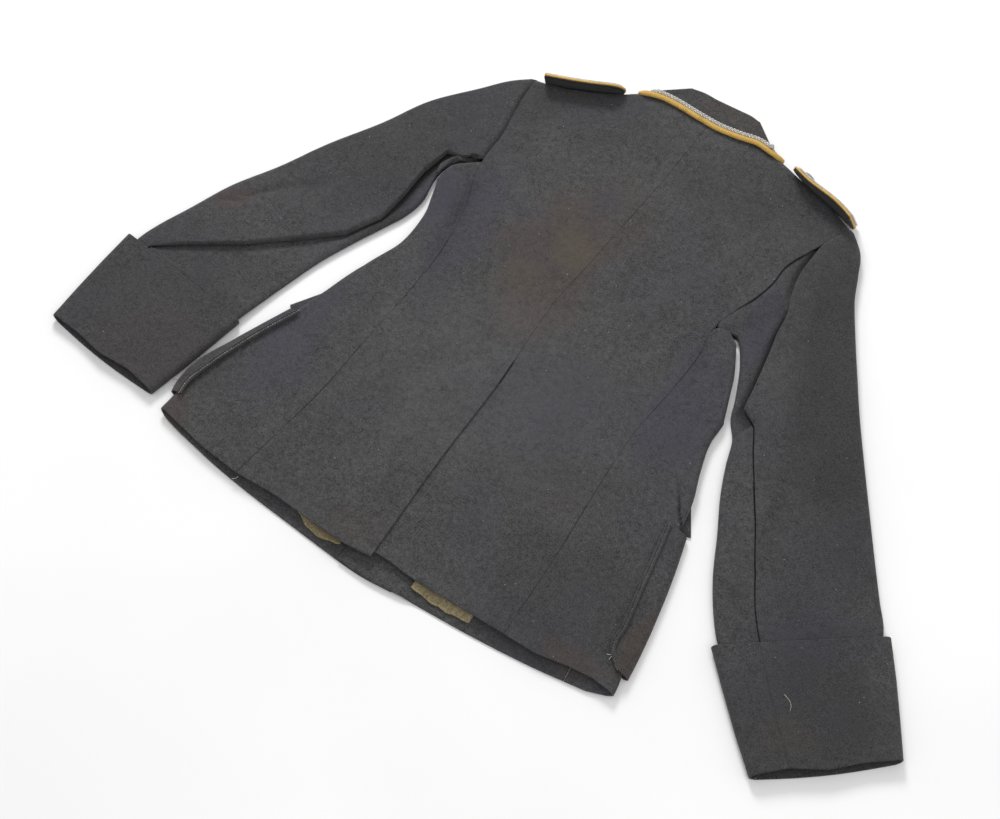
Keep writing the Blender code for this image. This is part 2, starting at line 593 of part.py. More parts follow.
def front_panel(side):
    """Half of the front, which lies on the surface. Its outer face is down."""
    left = side == "left"
    sign = -1 if left else 1
    seam_in = sign * (SIDE_PANEL_UNDER + UNDER_SEAM)
    hem_out = float(lookup(SIDE_FOLDS, 0, side)) - seam_in
    fx, fy = np.array(FRONT_HEM, float).T
    hem = [p for p in FRONT_HEM if sign * p[0] > -LAP and abs(p[0]) < abs(hem_out)]
    hem += [(x, float(np.interp(x, fx, fy))) for x in (-sign * LAP, hem_out)]
    hem.sort(key=lambda p: sign * p[0])
    seam_y = np.linspace(hem[-1][1], SIDE_UNDER_TOP[side], 14)
    seam = [(float(lookup(SIDE_FOLDS, y, side)) - seam_in, y) for y in seam_y]
    armhole = (ARMHOLE_LEFT if left else ARMHOLE_RIGHT)[1:]
    armhole = [(x - sign * (UNDER_SEAM + 0.6), y - UNDER_EDGE) for x, y in armhole]
    neck = NECK_POINT_LEFT if left else NECK_POINT_RIGHT
    inner = [(-sign * LAP, y) for y in (hem[0][1], 150, 300, 400)]
    inner += [(-sign * LAP * 0.8, BREAK_Y), (neck[0] * 0.15, 520), (neck[0] * 0.65, 620), neck]
    shoulder = [p for p in (SHOULDER_LEFT if left else SHOULDER_RIGHT)[:-1] if abs(p[0]) > abs(neck[0])]
    shoulder = [neck] + [(x, y - UNDER_EDGE) for x, y in shoulder] + [armhole[-1]]
    inner_c, outer_c = curve(inner, FRONT_ROWS), curve(seam + armhole, FRONT_ROWS)
    hem_c, top_c = curve(hem, at=FRONT_SHARES), curve(shoulder, at=FRONT_SHARES)
    inner_c[0], outer_c[0], inner_c[-1], outer_c[-1] = hem_c[0], hem_c[-1], top_c[0], top_c[-1]
    plan = patch(hem_c, top_c, inner_c, outer_c)
    x, y = plan[..., 0], plan[..., 1]
    z = lift(x, y)
    if not left:
        z = z + (LAYER + 0.8) * smoothstep((LAP + 32 - x) / 24)
    return wall("front_" + side, np.dstack([plan, z]), WOOL, "wool", "down")


def sleeve_rows(table, count):
    """The sleeve's sections, read between the table's rows, and each one's share of the sleeve's length."""
    values = np.array(table, float)
    key = values[:, :4].reshape(-1, 2, 2).mean(axis=1)
    along = np.concatenate([[0], np.cumsum(np.linalg.norm(np.diff(key, axis=0), axis=1))])
    shares = along[-1] * (np.linspace(0, 1, count) ** 0.92)
    shares[-3] = along[-2]
    read = np.stack([np.interp(shares, along, values[:, k]) for k in range(values.shape[1])], 1)
    smooth = curve(np.column_stack([key, values]), at=shares / along[-1])[:, 2:]
    read[:, :4] = smooth[:, :4]
    return [SleeveRow(*row) for row in read], shares / along[-1]


def sleeve(side):
    """A two-piece sleeve: the top sleeve, and the under sleeve that shows below its fold."""
    left = side == "left"
    table = SLEEVE_LEFT if left else SLEEVE_RIGHT
    folds = LEFT_SLEEVE_FOLDS if left else RIGHT_SLEEVE_FOLDS
    sign = -1 if left else 1
    junction = (ARMHOLE_LEFT if left else ARMHOLE_RIGHT)[0]
    armhole = [tuple(p) for p in outer_seam(side)[::-1] if p[1] > junction[1] + 4] + [junction]
    underarm = UNDERARM_LEFT if left else UNDERARM_RIGHT
    line = along_polyline(armhole[:-1] + underarm, 60) + (sign * 1.1 * CURVED_SEAM, 0)
    rows, shares = sleeve_rows(table, 17)
    (outer_x, outer_y), (inner_x, inner_y) = line[0], line[-1]
    rows[0] = rows[0]._replace(outer_x=outer_x, outer_y=outer_y, inner_x=inner_x, inner_y=inner_y)
    top_grid, under_grid = [], []
    for number, (row, share) in enumerate(zip(rows, shares)):
        flush = all(r.lap <= 0 for r in rows[max(number - 1, 0):number + 2])
        outer, inner = np.array([row.outer_x, row.outer_y]), np.array([row.inner_x, row.inner_y])
        width = float(np.linalg.norm(inner - outer))
        blend = float(smoothstep(1 - share / SLEEVE_SEAM_REACH))

        def place(distance):
            """A plan point that far in from the outer edge, drawn towards the armhole near it."""
            part = np.clip(distance / width, 0, 1)
            straight = outer + part * (inner - outer)
            if blend <= 0:
                return straight
            k = part * (len(line) - 1)
            low = int(min(k, len(line) - 2))
            on_line = line[low] + (k - low) * (line[low + 1] - line[low])
            return straight + blend * (on_line - (line[0] + part * (line[-1] - line[0])))

        fold_at = row.fold * width
        reach = min(FOLD_REACH, fold_at * 0.45)
        seam_at = SEAM_SHARE_UNDER * width
        crest = row.crest
        bump = SLEEVE_CROWN * max(0.0, 1 - row.base / 2.4)
        section = []
        for d in np.linspace(seam_at - SEAM, reach, 3):
            section.append((d, row.base))
        for a in np.linspace(-math.pi / 2, math.pi / 2, 6)[1:-1]:
            middle, half = (crest + row.base) / 2, (crest - row.base) / 2
            section.append((reach - reach * math.cos(a), middle + half * math.sin(a)))
        edge = min(4.2, fold_at - reach - 0.5)
        for d in np.linspace(reach, fold_at - edge, 6):
            section.append((d, crest + bump * math.sin(math.pi * d / max(fold_at, 1))))
        for a in (30, 60, 90):
            r = math.radians(a)
            section.append((fold_at - edge + edge * math.sin(r), crest - row.drop * (1 - math.cos(r))))
        made = []
        for d, z in section:
            x, y = place(d)
            above = (z - row.base) / (crest - row.base)
            z = z + max(0.0, above) ** 2 * float(folds_at(folds, np.array(x), np.array(y)))
            made.append((x, y, z))
        top_grid.append(made)
        start = fold_at - row.lap
        inner_reach = min(FOLD_REACH, (width - start) * 0.4)
        under = row.under if flush else min(row.under, crest - row.drop - WOOL - CLEAR)
        flush_share = float(smoothstep(1 - share / SEAM_HEIGHT_REACH))
        inner_height = max(under, row.base + 7.4)
        section = []
        for d in np.linspace(start, width - inner_reach, 8):
            rise = smoothstep((d - fold_at - 1.0) / max(width - inner_reach - fold_at - 1.0, 1.0))
            z = under + (inner_height - under) * float(rise)
            climb = float(smoothstep((d - fold_at - 1.0) / SEAM_CLIMB)) * flush_share
            climb *= float(smoothstep((width - inner_reach - d) / SEAM_CLIMB))
            section.append((d, z + max(SEAM_HEIGHT - z, 0.0) * climb))
        for a in np.linspace(math.pi / 2, -math.pi / 2, 6)[1:-1]:
            middle, half = (inner_height + row.base) / 2, (inner_height - row.base) / 2
            section.append((width - inner_reach + inner_reach * math.cos(a), middle + half * math.sin(a)))
        for d in np.linspace(width - inner_reach, seam_at + SEAM, 5):
            section.append((d, row.base))
        under_grid.append([(*place(d), z) for d, z in section])
    wall("sleeve_" + side + "_top", top_grid, WOOL, "wool", "away")
    wall("sleeve_" + side + "_under", under_grid, WOOL, "wool", "away")


def cuff(side):
    """A deep turned-back cuff: a flat ring round the sleeve's end."""
    table = CUFF_LEFT if side == "left" else CUFF_RIGHT
    wave_x, wave_y = np.array(CUFF_MOUTH_WAVE, float).T
    values = np.array(table, float)
    rows = np.stack([np.interp(np.linspace(0, 3, 7), range(4), values[:, k]) for k in range(5)], 1)
    grid = []
    mouth_way = (values[-1, :2] + values[-1, 2:4] - values[0, :2] - values[0, 2:4]) / 2
    mouth_way /= np.linalg.norm(mouth_way)
    for r, row in enumerate(rows):
        outer, inner, height = row[:2], row[2:4], row[4]
        width = float(np.linalg.norm(inner - outer))
        share = r / (len(rows) - 1)
        reach = 6.5
        section = []
        for d in np.linspace(reach, width - reach, 9):
            swell = math.sin(math.pi * d / width) - share * math.sin(2 * math.pi * d / width)
            section.append((d, height + CUFF_SWELL * swell, 1))
        for a in np.linspace(math.pi / 2, -math.pi / 2, 6)[1:-1]:
            section.append((width - reach + reach * math.cos(a), height / 2 * (1 + math.sin(a)), 0.5))
        for d in np.linspace(width - reach, reach, 5):
            section.append((d, 0.0, 0))
        for a in np.linspace(-math.pi / 2, math.pi / 2, 6)[1:-1]:
            section.append((reach - reach * math.cos(a), height / 2 * (1 + math.sin(a)), 0.5))
        section.append(section[0])
        made = []
        for d, z, upper in section:
            p = outer + (inner - outer) * d / width
            past = MOUTH_UNDER_REACH * (1 - upper) * math.sin(math.pi * d / width)
            stand = np.interp(d / width, wave_x, wave_y) * upper + past
            made.append((*(p + mouth_way * stand * share**3), z))
        grid.append(made)
    wall("cuff_" + side, grid, WOOL, "wool", "away", ring=True)


def with_turned_ends(rows):
    """Adds columns at both ends of the collar, which turn down round the ends of the neck.

    rows is a list of lines along the collar, each an array of x, y and z.
    """
    grid = np.array(rows)
    fall_edge, fall_roll = grid[0], grid[len(rows) // 2]
    made = []
    for end, order in ((0, (90, 60, 30)), (-1, (30, 60, 90))):
        along = fall_roll[end, :2] - fall_edge[end, :2]
        out = np.array([-along[1], along[0]]) / np.linalg.norm(along)
        out = out * (1 if end == 0 else -1)
        turned = []
        for a in np.radians(order):
            z = grid[:, end, 2]
            part = np.clip((z - COLLAR_TURN_FROM) / (COLLAR_EDGE_HEIGHT - COLLAR_TURN_FROM), 0, 1)
            reach = -COLLAR_TURN_IN + (COLLAR_TURN_IN + COLLAR_TURN_OUT) * part
            plan = grid[:, end, :2] + out * (reach * math.sin(a))[:, None]
            low = COLLAR_END_HEIGHT + (z - COLLAR_END_HEIGHT) * math.cos(a)
            turned.append(np.column_stack([plan, low]))
        made.append(np.array(turned).transpose(1, 0, 2))
    return np.concatenate([made[0], grid, made[1]], axis=1)


def collar():
    """The collar's fall over its stand, folded at the roll line, with a cord and piping on its edge."""
    edge, roll = curve(COLLAR_EDGE, COLLAR_COLUMNS), curve(COLLAR_ROLL, COLLAR_COLUMNS)
    seam = curve(NECK_SEAM, COLLAR_COLUMNS)
    rows = []
    for part in (0.0, 0.2, 0.45, 0.7, 0.88):
        height = COLLAR_EDGE_HEIGHT + (COLLAR_ROLL_HEIGHT - COLLAR_EDGE_HEIGHT) * part
        rows.append(np.column_stack([edge + part * (roll - edge), np.full(COLLAR_COLUMNS, height)]))
    half = COLLAR_ROLL_THICK / 2
    inward = (edge - roll) / np.linalg.norm(edge - roll, axis=1, keepdims=True)
    for a in np.radians([55, 18, -18, -55, -90]):
        plan = roll + inward * (half - half * math.cos(a))
        height = COLLAR_ROLL_HEIGHT - half + half * math.sin(a)
        rows.append(np.column_stack([plan, np.full(COLLAR_COLUMNS, height)]))
    start = roll + inward * half
    low = COLLAR_ROLL_HEIGHT - COLLAR_ROLL_THICK
    for part in (0.5, 1.0):
        down = np.full(COLLAR_COLUMNS, low - 2.0 * part)
        rows.append(np.column_stack([start + part * (seam - start), down]))
    wall("collar", with_turned_ends(rows).transpose(1, 0, 2), COLLAR_CLOTH, "wool", "away")
    edge = curve(COLLAR_EDGE, 21)
    way = np.gradient(edge, axis=0)
    way /= np.linalg.norm(way, axis=1, keepdims=True)
    out = np.stack([way[:, 1], -way[:, 0]], 1)
    piping = np.column_stack([edge + out * (CORD_RADIUS + 0.7), np.full(21, COLLAR_EDGE_HEIGHT)])
    cord = np.column_stack([edge - out * CORD_RADIUS, np.full(21, COLLAR_EDGE_HEIGHT + CORD_RADIUS + 1.2)])
    cord = cord[cord[:, 0] > CORD_FROM_X]
    tube("collar_piping", np.vstack([PIPING_START, piping, PIPING_END]), CORD_RADIUS, "piping")
    tube("collar_cord", np.vstack([CORD_START, cord, CORD_END]), CORD_RADIUS, "silver")


def lathe(name, rings, finish):
    """A closed solid through rings of points, with flat ends."""
    sides = len(rings[0])
    points = np.array([p for ring in rings for p in ring])
    faces = []
    for r in range(len(rings) - 1):
        for c in range(sides):
            d = (c + 1) % sides
            faces.append([r * sides + c, r * sides + d, (r + 1) * sides + d, (r + 1) * sides + c])
    faces += [list(range(sides))[::-1], list(range((len(rings) - 1) * sides, len(rings) * sides))]
    if signed_volume(points, faces) < 0:
        faces = [list(reversed(f)) for f in faces]
    return add_object(name, points, faces, finish)


def strap(side):
    """A shoulder strap that leans over the shoulder's edge: base cloth, coloured layer, braid and button."""
    row = STRAPS[side]
    sleeve_end, neck_end = np.array([row.sleeve_x, row.sleeve_y]), np.array([row.neck_x, row.neck_y])
    length = float(np.linalg.norm(neck_end - sleeve_end))
    way = (neck_end - sleeve_end) / length
    out = np.array([-way[1], way[0]]) * (1 if side == "left" else -1)
    tilt = math.radians(row.tilt)
    middle_height = STRAP_FOOT + STRAP_WIDTH / 2 * math.sin(tilt)
    round_end = STRAP_WIDTH / 2

    def place(s, w, depth):
        """s runs from the sleeve to the neck, w from the upper edge down, depth away from the tunic."""
        share = s / length
        bow = row.bow * math.sin(math.pi * share) + row.wave * math.sin(2 * math.pi * share)
        bow *= 0.5 + w / STRAP_WIDTH
        lean = (STRAP_WIDTH / 2 - w) * math.cos(tilt)
        p = sleeve_end + way * s + out * (bow + lean + depth)
        return (*p, middle_height + w * math.sin(tilt))

    def board(name, start, thick, inset, finish):
        inner, outer = [], []
        straight = np.linspace(0, length - round_end, 6)
        rounded = length - round_end + round_end * np.sin(np.radians([22, 42, 60, 74]))
        for s in np.concatenate([straight, rounded]):
            over = max(0.0, s - (length - round_end)) / round_end
            half = (STRAP_WIDTH / 2 - inset) * math.sqrt(1 - over**2)
            s = s - inset * over
            inner.append([place(s, w * half, start) for w in (-1, -0.4, 0.4, 1)])
            outer.append([place(s, w * half, start + thick) for w in (-1, -0.4, 0.4, 1)])
        solid_between(name, np.array(outer), np.array(inner), finish)

    under_braid = STRAP_BASE + STRAP_PIPING + 2 * STRAP_GAP
    board(f"strap_{side}_base", 0.0, STRAP_BASE, 1.2, "wool")
    board(f"strap_{side}_piping", STRAP_BASE + STRAP_GAP, STRAP_PIPING, 0.0, "piping")
    board(f"strap_{side}_braid", under_braid, STRAP_BRAID, 3.4, "silver")
    stack, sides = [], 16
    for depth, radius in ((0.0, 7.0), (1.2, 7.6), (2.8, 6.4), (3.8, 3.0)):
        ring = []
        for a in np.linspace(0, 2 * math.pi, sides, endpoint=False):
            s = length - round_end + radius * math.cos(a)
            ring.append(place(s, radius * math.sin(a), under_braid + STRAP_BRAID + STRAP_GAP + depth))
        stack.append(ring)
    lathe(f"strap_{side}_button", stack, "button")


def pocket(side):
    """A patch pocket that wraps round the side fold, with its bellows strip, and its flap."""
    table = POCKET_LEFT if side == "left" else POCKET_RIGHT
    sign = -1 if side == "left" else 1
    grid, strip = [], []
    for y in np.linspace(table[0].y, table[-1].y, 9):
        top_edge, outer = float(lookup(table, y, "top_edge")), float(lookup(table, y, "outer"))
        fold = float(lookup(SIDE_FOLDS, y, side))
        start = fold - sign * FOLD_REACH
        high = float(back_height(start, y)) + POCKET_WALL + CLEAR + 0.5
        beyond = sign * (outer - fold)
        shoulder_z = high - 1.4
        lobe = [(top_edge, high), (fold + sign * 0.5, shoulder_z)]
        lobe += [(outer - sign * 3.0, shoulder_z - 2.2 - 0.06 * beyond), (outer, 3.4)]
        lobe += [(outer - sign * 3.2, 0.0)]
        path = curve(lobe, 10)
        path[-1] = lobe[-1]
        flat = [(x, 0.0) for x in np.linspace(outer - sign * 3.2, sign * POCKET_INNER_X, 4)[1:]]
        grid.append([(x, y, max(z, 0.0)) for x, z in list(path) + flat])
        base = high + CLEAR
        ridge = [(-3.0, 0.0), (-1.4, 1.4), (0.2, 0.3), (1.8, 1.5), (3.4, 0.1)]
        strip.append([(top_edge - sign * 2.2 + sign * d, y, base + BELLOWS_WALL + h) for d, h in ridge])
    wall("pocket_" + side, grid, POCKET_WALL, "wool", "away")
    wall("pocket_" + side + "_bellows", strip, BELLOWS_WALL - 0.1, "wool", "up")
    slab("pocket_" + side + "_flap", FLAP_LEFT if side == "left" else FLAP_RIGHT, 0.0, WOOL, "wool")


def lining(side):
    """The strip of lining that shows between the back hem and the front's own hem."""
    start, end, dip = LINING[side]
    grid = []
    for x in np.linspace(start[0], end[0], 14):
        share = (x - start[0]) / (end[0] - start[0])
        low = start[1] + share * (end[1] - start[1]) - dip * math.sin(math.pi * share)
        column = []
        for y in np.linspace(low, 40, 6):
            pucker = 0.5 * math.sin(x * 0.45) * math.exp(-max(0.0, y - low) / 18)
            under = LAYER + 0.8 if side == "right" else 0.0
            base = float(lift(x, y)) + WOOL + LINING_CLOTH + CLEAR + 1.0
            base += under * float(smoothstep((LAP + 38 - x) / 24))
            column.append((x, y, base + pucker))
        grid.append(column)
    wall("lining_" + side, grid, LINING_CLOTH, "lining", "up")


def collar_fronts():
    """The collar's front ends and the lapels, flat on the surface below the fronts."""
    for sign, side in ((-1, "left"), (1, "right")):
        neck = NECK_POINT_LEFT if sign < 0 else NECK_POINT_RIGHT
        leaf = [(neck[0] * 0.98, 688), (neck[0] * 0.60, 622), (neck[0] * 0.98, 590), (neck[0] * 1.28, 652)]
        slab(f"collar_leaf_{side}", leaf, 0.0, WOOL, "wool")
        lapel = [(neck[0] * 0.58, 618), (sign * 13, 470), (sign * 40, 520), (sign * 92, 575)]
        lapel.append((neck[0] * 0.98, 588))
        slab(f"lapel_{side}", lapel, 0.0, WOOL, "wool")


def buttons():
    """Front buttons, on the side that lies down."""
    for number, y in enumerate(BUTTON_Y, 1):
        sides = 20
        turn = np.linspace(0, 2 * math.pi, sides, endpoint=False)
        ring = [(BUTTON_RADIUS * math.cos(a), y + BUTTON_RADIUS * math.sin(a)) for a in turn]
        slab(f"button_{number}", ring, 0.0, BUTTON_HEIGHT, "button")


def main():
    for obj in list(bpy.data.objects):
        bpy.data.objects.remove(obj)
    for side in ("left", "right"):
        back_panel(side)
        side_panel(side)
        front_panel(side)
        sleeve(side)
        cuff(side)
        strap(side)
        pocket(side)
        lining(side)
    collar()
    collar_fronts()
    buttons()


main()
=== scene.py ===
# %% [markdown]
# # A wool service tunic, laid face down
#
# The tunic lies flat with its back up and its sleeves spread. Each cloth panel is drawn as a fine grid on
# the form of its CAD solid, with creases, seams and hems that a solid model leaves out. Lengths in the
# tables are in millimetres in the tunic's own plan: x runs from the wearer's left to the right, y from the
# hem to the collar.

# %%
import json
import math
from collections import namedtuple

import bpy
import numpy as np
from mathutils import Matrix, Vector

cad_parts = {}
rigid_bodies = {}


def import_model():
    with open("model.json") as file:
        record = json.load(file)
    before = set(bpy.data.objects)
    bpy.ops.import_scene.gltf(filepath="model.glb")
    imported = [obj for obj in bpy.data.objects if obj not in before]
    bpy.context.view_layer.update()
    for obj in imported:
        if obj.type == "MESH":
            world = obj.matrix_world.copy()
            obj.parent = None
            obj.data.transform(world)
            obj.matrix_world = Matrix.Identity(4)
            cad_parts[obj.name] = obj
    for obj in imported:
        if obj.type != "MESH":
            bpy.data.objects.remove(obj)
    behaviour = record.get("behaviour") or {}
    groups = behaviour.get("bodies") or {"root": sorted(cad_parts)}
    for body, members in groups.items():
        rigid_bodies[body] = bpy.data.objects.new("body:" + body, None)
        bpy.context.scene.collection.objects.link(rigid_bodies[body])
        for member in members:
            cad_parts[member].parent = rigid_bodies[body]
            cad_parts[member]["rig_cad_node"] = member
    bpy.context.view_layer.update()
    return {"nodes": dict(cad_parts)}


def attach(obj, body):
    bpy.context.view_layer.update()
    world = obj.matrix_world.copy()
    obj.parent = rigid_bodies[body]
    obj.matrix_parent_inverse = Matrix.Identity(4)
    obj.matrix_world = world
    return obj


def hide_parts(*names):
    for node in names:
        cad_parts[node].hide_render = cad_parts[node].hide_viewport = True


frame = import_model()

MM = 0.001
CENTRE = np.array([40.04, 348.625, 0.0])  # the footprint's centre in the plan, which is the frame's origin

# %% [markdown]
# ## Camera, light and floor

# %%
CAMERA_PLACE = (0.5456, -1.0016, 1.7498)
CAMERA_HEADING = (-0.551, 0.834)
CAMERA_DOWN = math.radians(59)
LENS = 66.6
WORLD_LIGHT = 0.62
FLOOR_HALF = 6
FLOOR_HEIGHT = -0.0006
scene = bpy.context.scene


def added(name, data, place=(0, 0, 0), way=None):
    """A new object in the scene, at a place and looking a way."""
    made = bpy.data.objects.new(name, data)
    scene.collection.objects.link(made)
    made.location = place
    if way is not None:
        made.rotation_mode = "QUATERNION"
        made.rotation_quaternion = way.to_track_quat("-Z", "Y")
    return made


flat = math.cos(CAMERA_DOWN)
looking = Vector((CAMERA_HEADING[0] * flat, CAMERA_HEADING[1] * flat, -math.sin(CAMERA_DOWN)))
camera = added("camera", bpy.data.cameras.new("camera"), CAMERA_PLACE, looking)
camera.data.sensor_width = 36
camera.data.lens = LENS
camera.data.clip_start, camera.data.clip_end = 0.05, 50
bpy.context.scene.camera = camera

world = bpy.data.worlds.new("studio")
world.use_nodes = True
world.node_tree.nodes["Background"].inputs["Color"].default_value = (1.0, 1.0, 1.0, 1)
world.node_tree.nodes["Background"].inputs["Strength"].default_value = WORLD_LIGHT
scene.world = world
for name, place, size, power in (("key", (-1.7, 1.9, 2.0), 1.1, 64), ("fill", (1.4, -1.0, 2.6), 2.4, 20)):
    light = bpy.data.lights.new(name, "AREA")
    light.shape = "DISK"
    light.size = size
    light.energy = power
    added(name, light, place, -Vector(place))

floor_mesh = bpy.data.meshes.new("floor")
corners = [(x * FLOOR_HALF, y * FLOOR_HALF, FLOOR_HEIGHT) for x, y in ((-1, -1), (1, -1), (1, 1), (-1, 1))]
floor_mesh.from_pydata(corners, [], [(0, 1, 2, 3)])
added("floor", floor_mesh)
scene.view_settings.view_transform = "Standard"
print("camera at", [round(v, 3) for v in camera.location], "lens", LENS)

# %% [markdown]
# ## Materials
#
# Every material is made of nodes on object coordinates, so the grain runs on from panel to panel.


# %%
class Tree:
    """A node tree. Nodes are added by kind, with settings and with sources for their inputs by name."""

    def set(self, socket, source):
        if isinstance(source, bpy.types.NodeSocket):
            self.tree.links.new(source, socket)
        elif source is not None:
            socket.default_value = source

    def node(self, kind, settings=(), **sources):
        made = self.tree.nodes.new(kind)
        for key, value in dict(settings).items():
            setattr(made, key, value)
        sockets = {s.name.replace(" ", "_"): s for s in made.inputs if s.enabled}
        for key, source in sources.items():
            self.set(sockets[key], source)
        return made


class Shader(Tree):
    """A material. Its methods add nodes and give back what they put out."""

    def __init__(self, name):
        self.material = bpy.data.materials.new(name)
        self.material.use_nodes = True
        self.tree = self.material.node_tree
        self.place = self.node("ShaderNodeTexCoord").outputs["Object"]

    def math(self, operation, a, b=0.0):
        made = self.node("ShaderNodeMath", {"operation": operation})
        self.set(made.inputs[0], a)
        self.set(made.inputs[1], b)
        return made.outputs[0]

    def total(self, *terms):
        """The sum of sources, each with a weight."""
        parts = [self.math("MULTIPLY", *term) for term in terms]
        made = parts[0]
        for part in parts[1:]:
            made = self.math("ADD", made, part)
        return made

    def noise(self, scale, detail, roughness=0.5, place=None):
        return self.node("ShaderNodeTexNoise", Vector=place or self.place, Scale=scale, Detail=detail,
                         Roughness=roughness).outputs["Fac"]

    def wave(self, scale, distortion, turn):
        place = self.moved((0, 0, 0), turn=turn)
        return self.node("ShaderNodeTexWave", Vector=place, Scale=scale, Distortion=distortion).outputs["Fac"]

    def ramp(self, source, low, high):
        """0 below low, 1 above high, and a smooth rise between them."""
        return self.node("ShaderNodeMapRange", {"interpolation_type": "SMOOTHSTEP"}, Value=source,
                         From_Min=low, From_Max=high).outputs["Result"]

    def mix(self, share, a, b):
        made = self.node("ShaderNodeMix", {"data_type": "RGBA"})
        for number, source in ((0, share), (6, a), (7, b)):
            self.set(made.inputs[number], (*source, 1.0) if isinstance(source, tuple) else source)
        return made.outputs[2]

    def veil(self, colour, share, most, tint):
        """A colour covered with a tint, by a share of the most it covers."""
        return self.mix(self.math("MULTIPLY", share, most), colour, tint)

    def moved(self, offset, scale=(1, 1, 1), turn=0.0, kind="POINT"):
        return self.node("ShaderNodeMapping", {"vector_type": kind}, Vector=self.place, Location=offset,
                         Scale=scale, Rotation=(0, 0, turn)).outputs["Vector"]

    def blot(self, x, y, wide, long, turn):
        """1 inside an ellipse of the plan, in millimetres, fading to 0 outside it, with an uneven border."""
        at = ((x - CENTRE[0]) * MM, (y - CENTRE[1]) * MM, 0.0)
        inside = self.moved(at, (wide * MM, long * MM, 1.0), turn, "TEXTURE")
        away = self.node("ShaderNodeVectorMath", {"operation": "LENGTH"}, Vector=inside).outputs["Value"]
        rough = self.math("MULTIPLY", self.math("SUBTRACT", self.noise(16, 4, 0.6), 0.5), 1.6)
        return self.ramp(self.math("SUBTRACT", 1.0, self.math("ADD", away, rough)), -BLOT_BLUR, BLOT_BLUR)

    def bump(self, height, distance, normal=None):
        return self.node("ShaderNodeBump", Strength=1.0, Distance=distance, Height=height,
                         Normal=normal).outputs["Normal"]

    def finish(self, **values):
        for key, value in values.items():
            self.set(self.tree.nodes["Principled BSDF"].inputs[key.replace("_", " ")], value)
        return self.material


def wool(name):
    """Melange wool twill: dark and pale fibres, clouds, tinted patches, stains, blots of painted shade,
    darker seams, and painted shade where the points' shade attribute is set.
    """
    s = Shader(name)
    along = s.noise(1.0, 2, 0.6, s.moved((0, 0, 0), (430, 1300, 900), FIBRE_TURN))
    across = s.noise(1.0, 2, 0.6, s.moved((3, 1, 0), (1250, 520, 900), FIBRE_TURN))
    fibres = s.total((along, 0.34), (across, 0.30), (s.noise(620, 3, 0.7), 0.36))
    clouds = s.total((s.noise(150, 3, 0.6), 0.7), (s.noise(30, 2), 0.3))
    shade = s.math("ADD", fibres, s.math("MULTIPLY", s.math("SUBTRACT", clouds, 0.5), 0.30))
    colour = s.mix(s.ramp(shade, 0.30, 0.72), DARK_FIBRE, PALE_FIBRE)
    colour = s.veil(colour, s.ramp(s.noise(7.5, 3, 0.55), 0.46, 0.70), 0.30, BLUISH)
    warm = s.noise(5.2, 3, 0.6, s.moved((3.1, 1.7, 0.4)))
    colour = s.veil(colour, s.ramp(warm, 0.52, 0.74), 0.18, BROWNISH)
    patchy = s.math("ADD", 0.1, s.math("MULTIPLY", clouds, 1.8))
    # Stains, and blots of painted shade in the darkest tint, each mixed in patchily
    for row in STAIN_AND_SHADE_BLOTS:
        share = s.math("MULTIPLY", s.blot(row.x, row.y, row.wide, row.long, row.turn), row.most)
        colour = s.mix(s.math("MULTIPLY", share, patchy), colour, row.tint)
    # Darker seams, and painted shade from the shade attribute: fold troughs, the under sleeve beside its
    # fold, the foot of the flap's step and the strap's base
    for attribute, most, tone in (("seam", 0.3, SEAM_TONE), ("shade", 0.85, SHADE_TONE)):
        dark = s.node("ShaderNodeAttribute", {"attribute_name": attribute}).outputs["Fac"]
        colour = s.veil(colour, dark, most, tone)
    height = s.total((fibres, 0.8), (s.wave(220, 2.2, TWILL_TURN), 0.25))
    normal = s.bump(height, 0.0004, s.bump(clouds, 0.0017))
    return s.finish(Base_Color=colour, Normal=normal, Roughness=0.93, Sheen_Weight=0.12,
                    Sheen_Roughness=0.45, Specular_IOR_Level=0.2)


def yarn(row):
    """A dyed cloth, thread or metal with a fine grain between two colours."""
    s = Shader(row.name)
    fibres = s.noise(row.grain, 3, 0.6)
    worn = s.ramp(s.noise(38, 4, 0.6, s.moved((1.3, 0.2, 0.0))), 0.55, 0.75)
    colour = s.mix(s.ramp(fibres, 0.3, 0.7), row.low, row.high)
    colour = s.veil(colour, worn, 0.35, tuple(v * 0.6 for v in row.low))
    height = s.math("ADD", fibres, s.math("MULTIPLY", s.wave(row.pitch, 1.0, 0.7), 0.6))
    return s.finish(Base_Color=colour, Normal=s.bump(height, row.depth), Roughness=row.roughness,
                    Sheen_Weight=row.sheen, Metallic=row.metal)


FIBRE_TURN = math.radians(34)
TWILL_TURN = math.radians(38)
BLOT_BLUR = 0.45
DARK_FIBRE = (0.014, 0.014, 0.0155)
PALE_FIBRE = (0.108, 0.108, 0.109)
BLUISH = (0.045, 0.045, 0.060)
BROWNISH = (0.066, 0.052, 0.044)
SEAM_TONE = (0.005, 0.005, 0.006)
SHADE_TONE = (0.003, 0.003, 0.004)
BROWN = (0.080, 0.052, 0.040)
OLIVE = (0.088, 0.080, 0.052)
VIOLET = (0.050, 0.047, 0.072)
FADED = (0.098, 0.096, 0.100)
# Painted shade: the near-black tint of the blots that darken the sleeves, cuffs, shoulders and right front
SHADE_BLOT_TONE = (0.018, 0.018, 0.020)
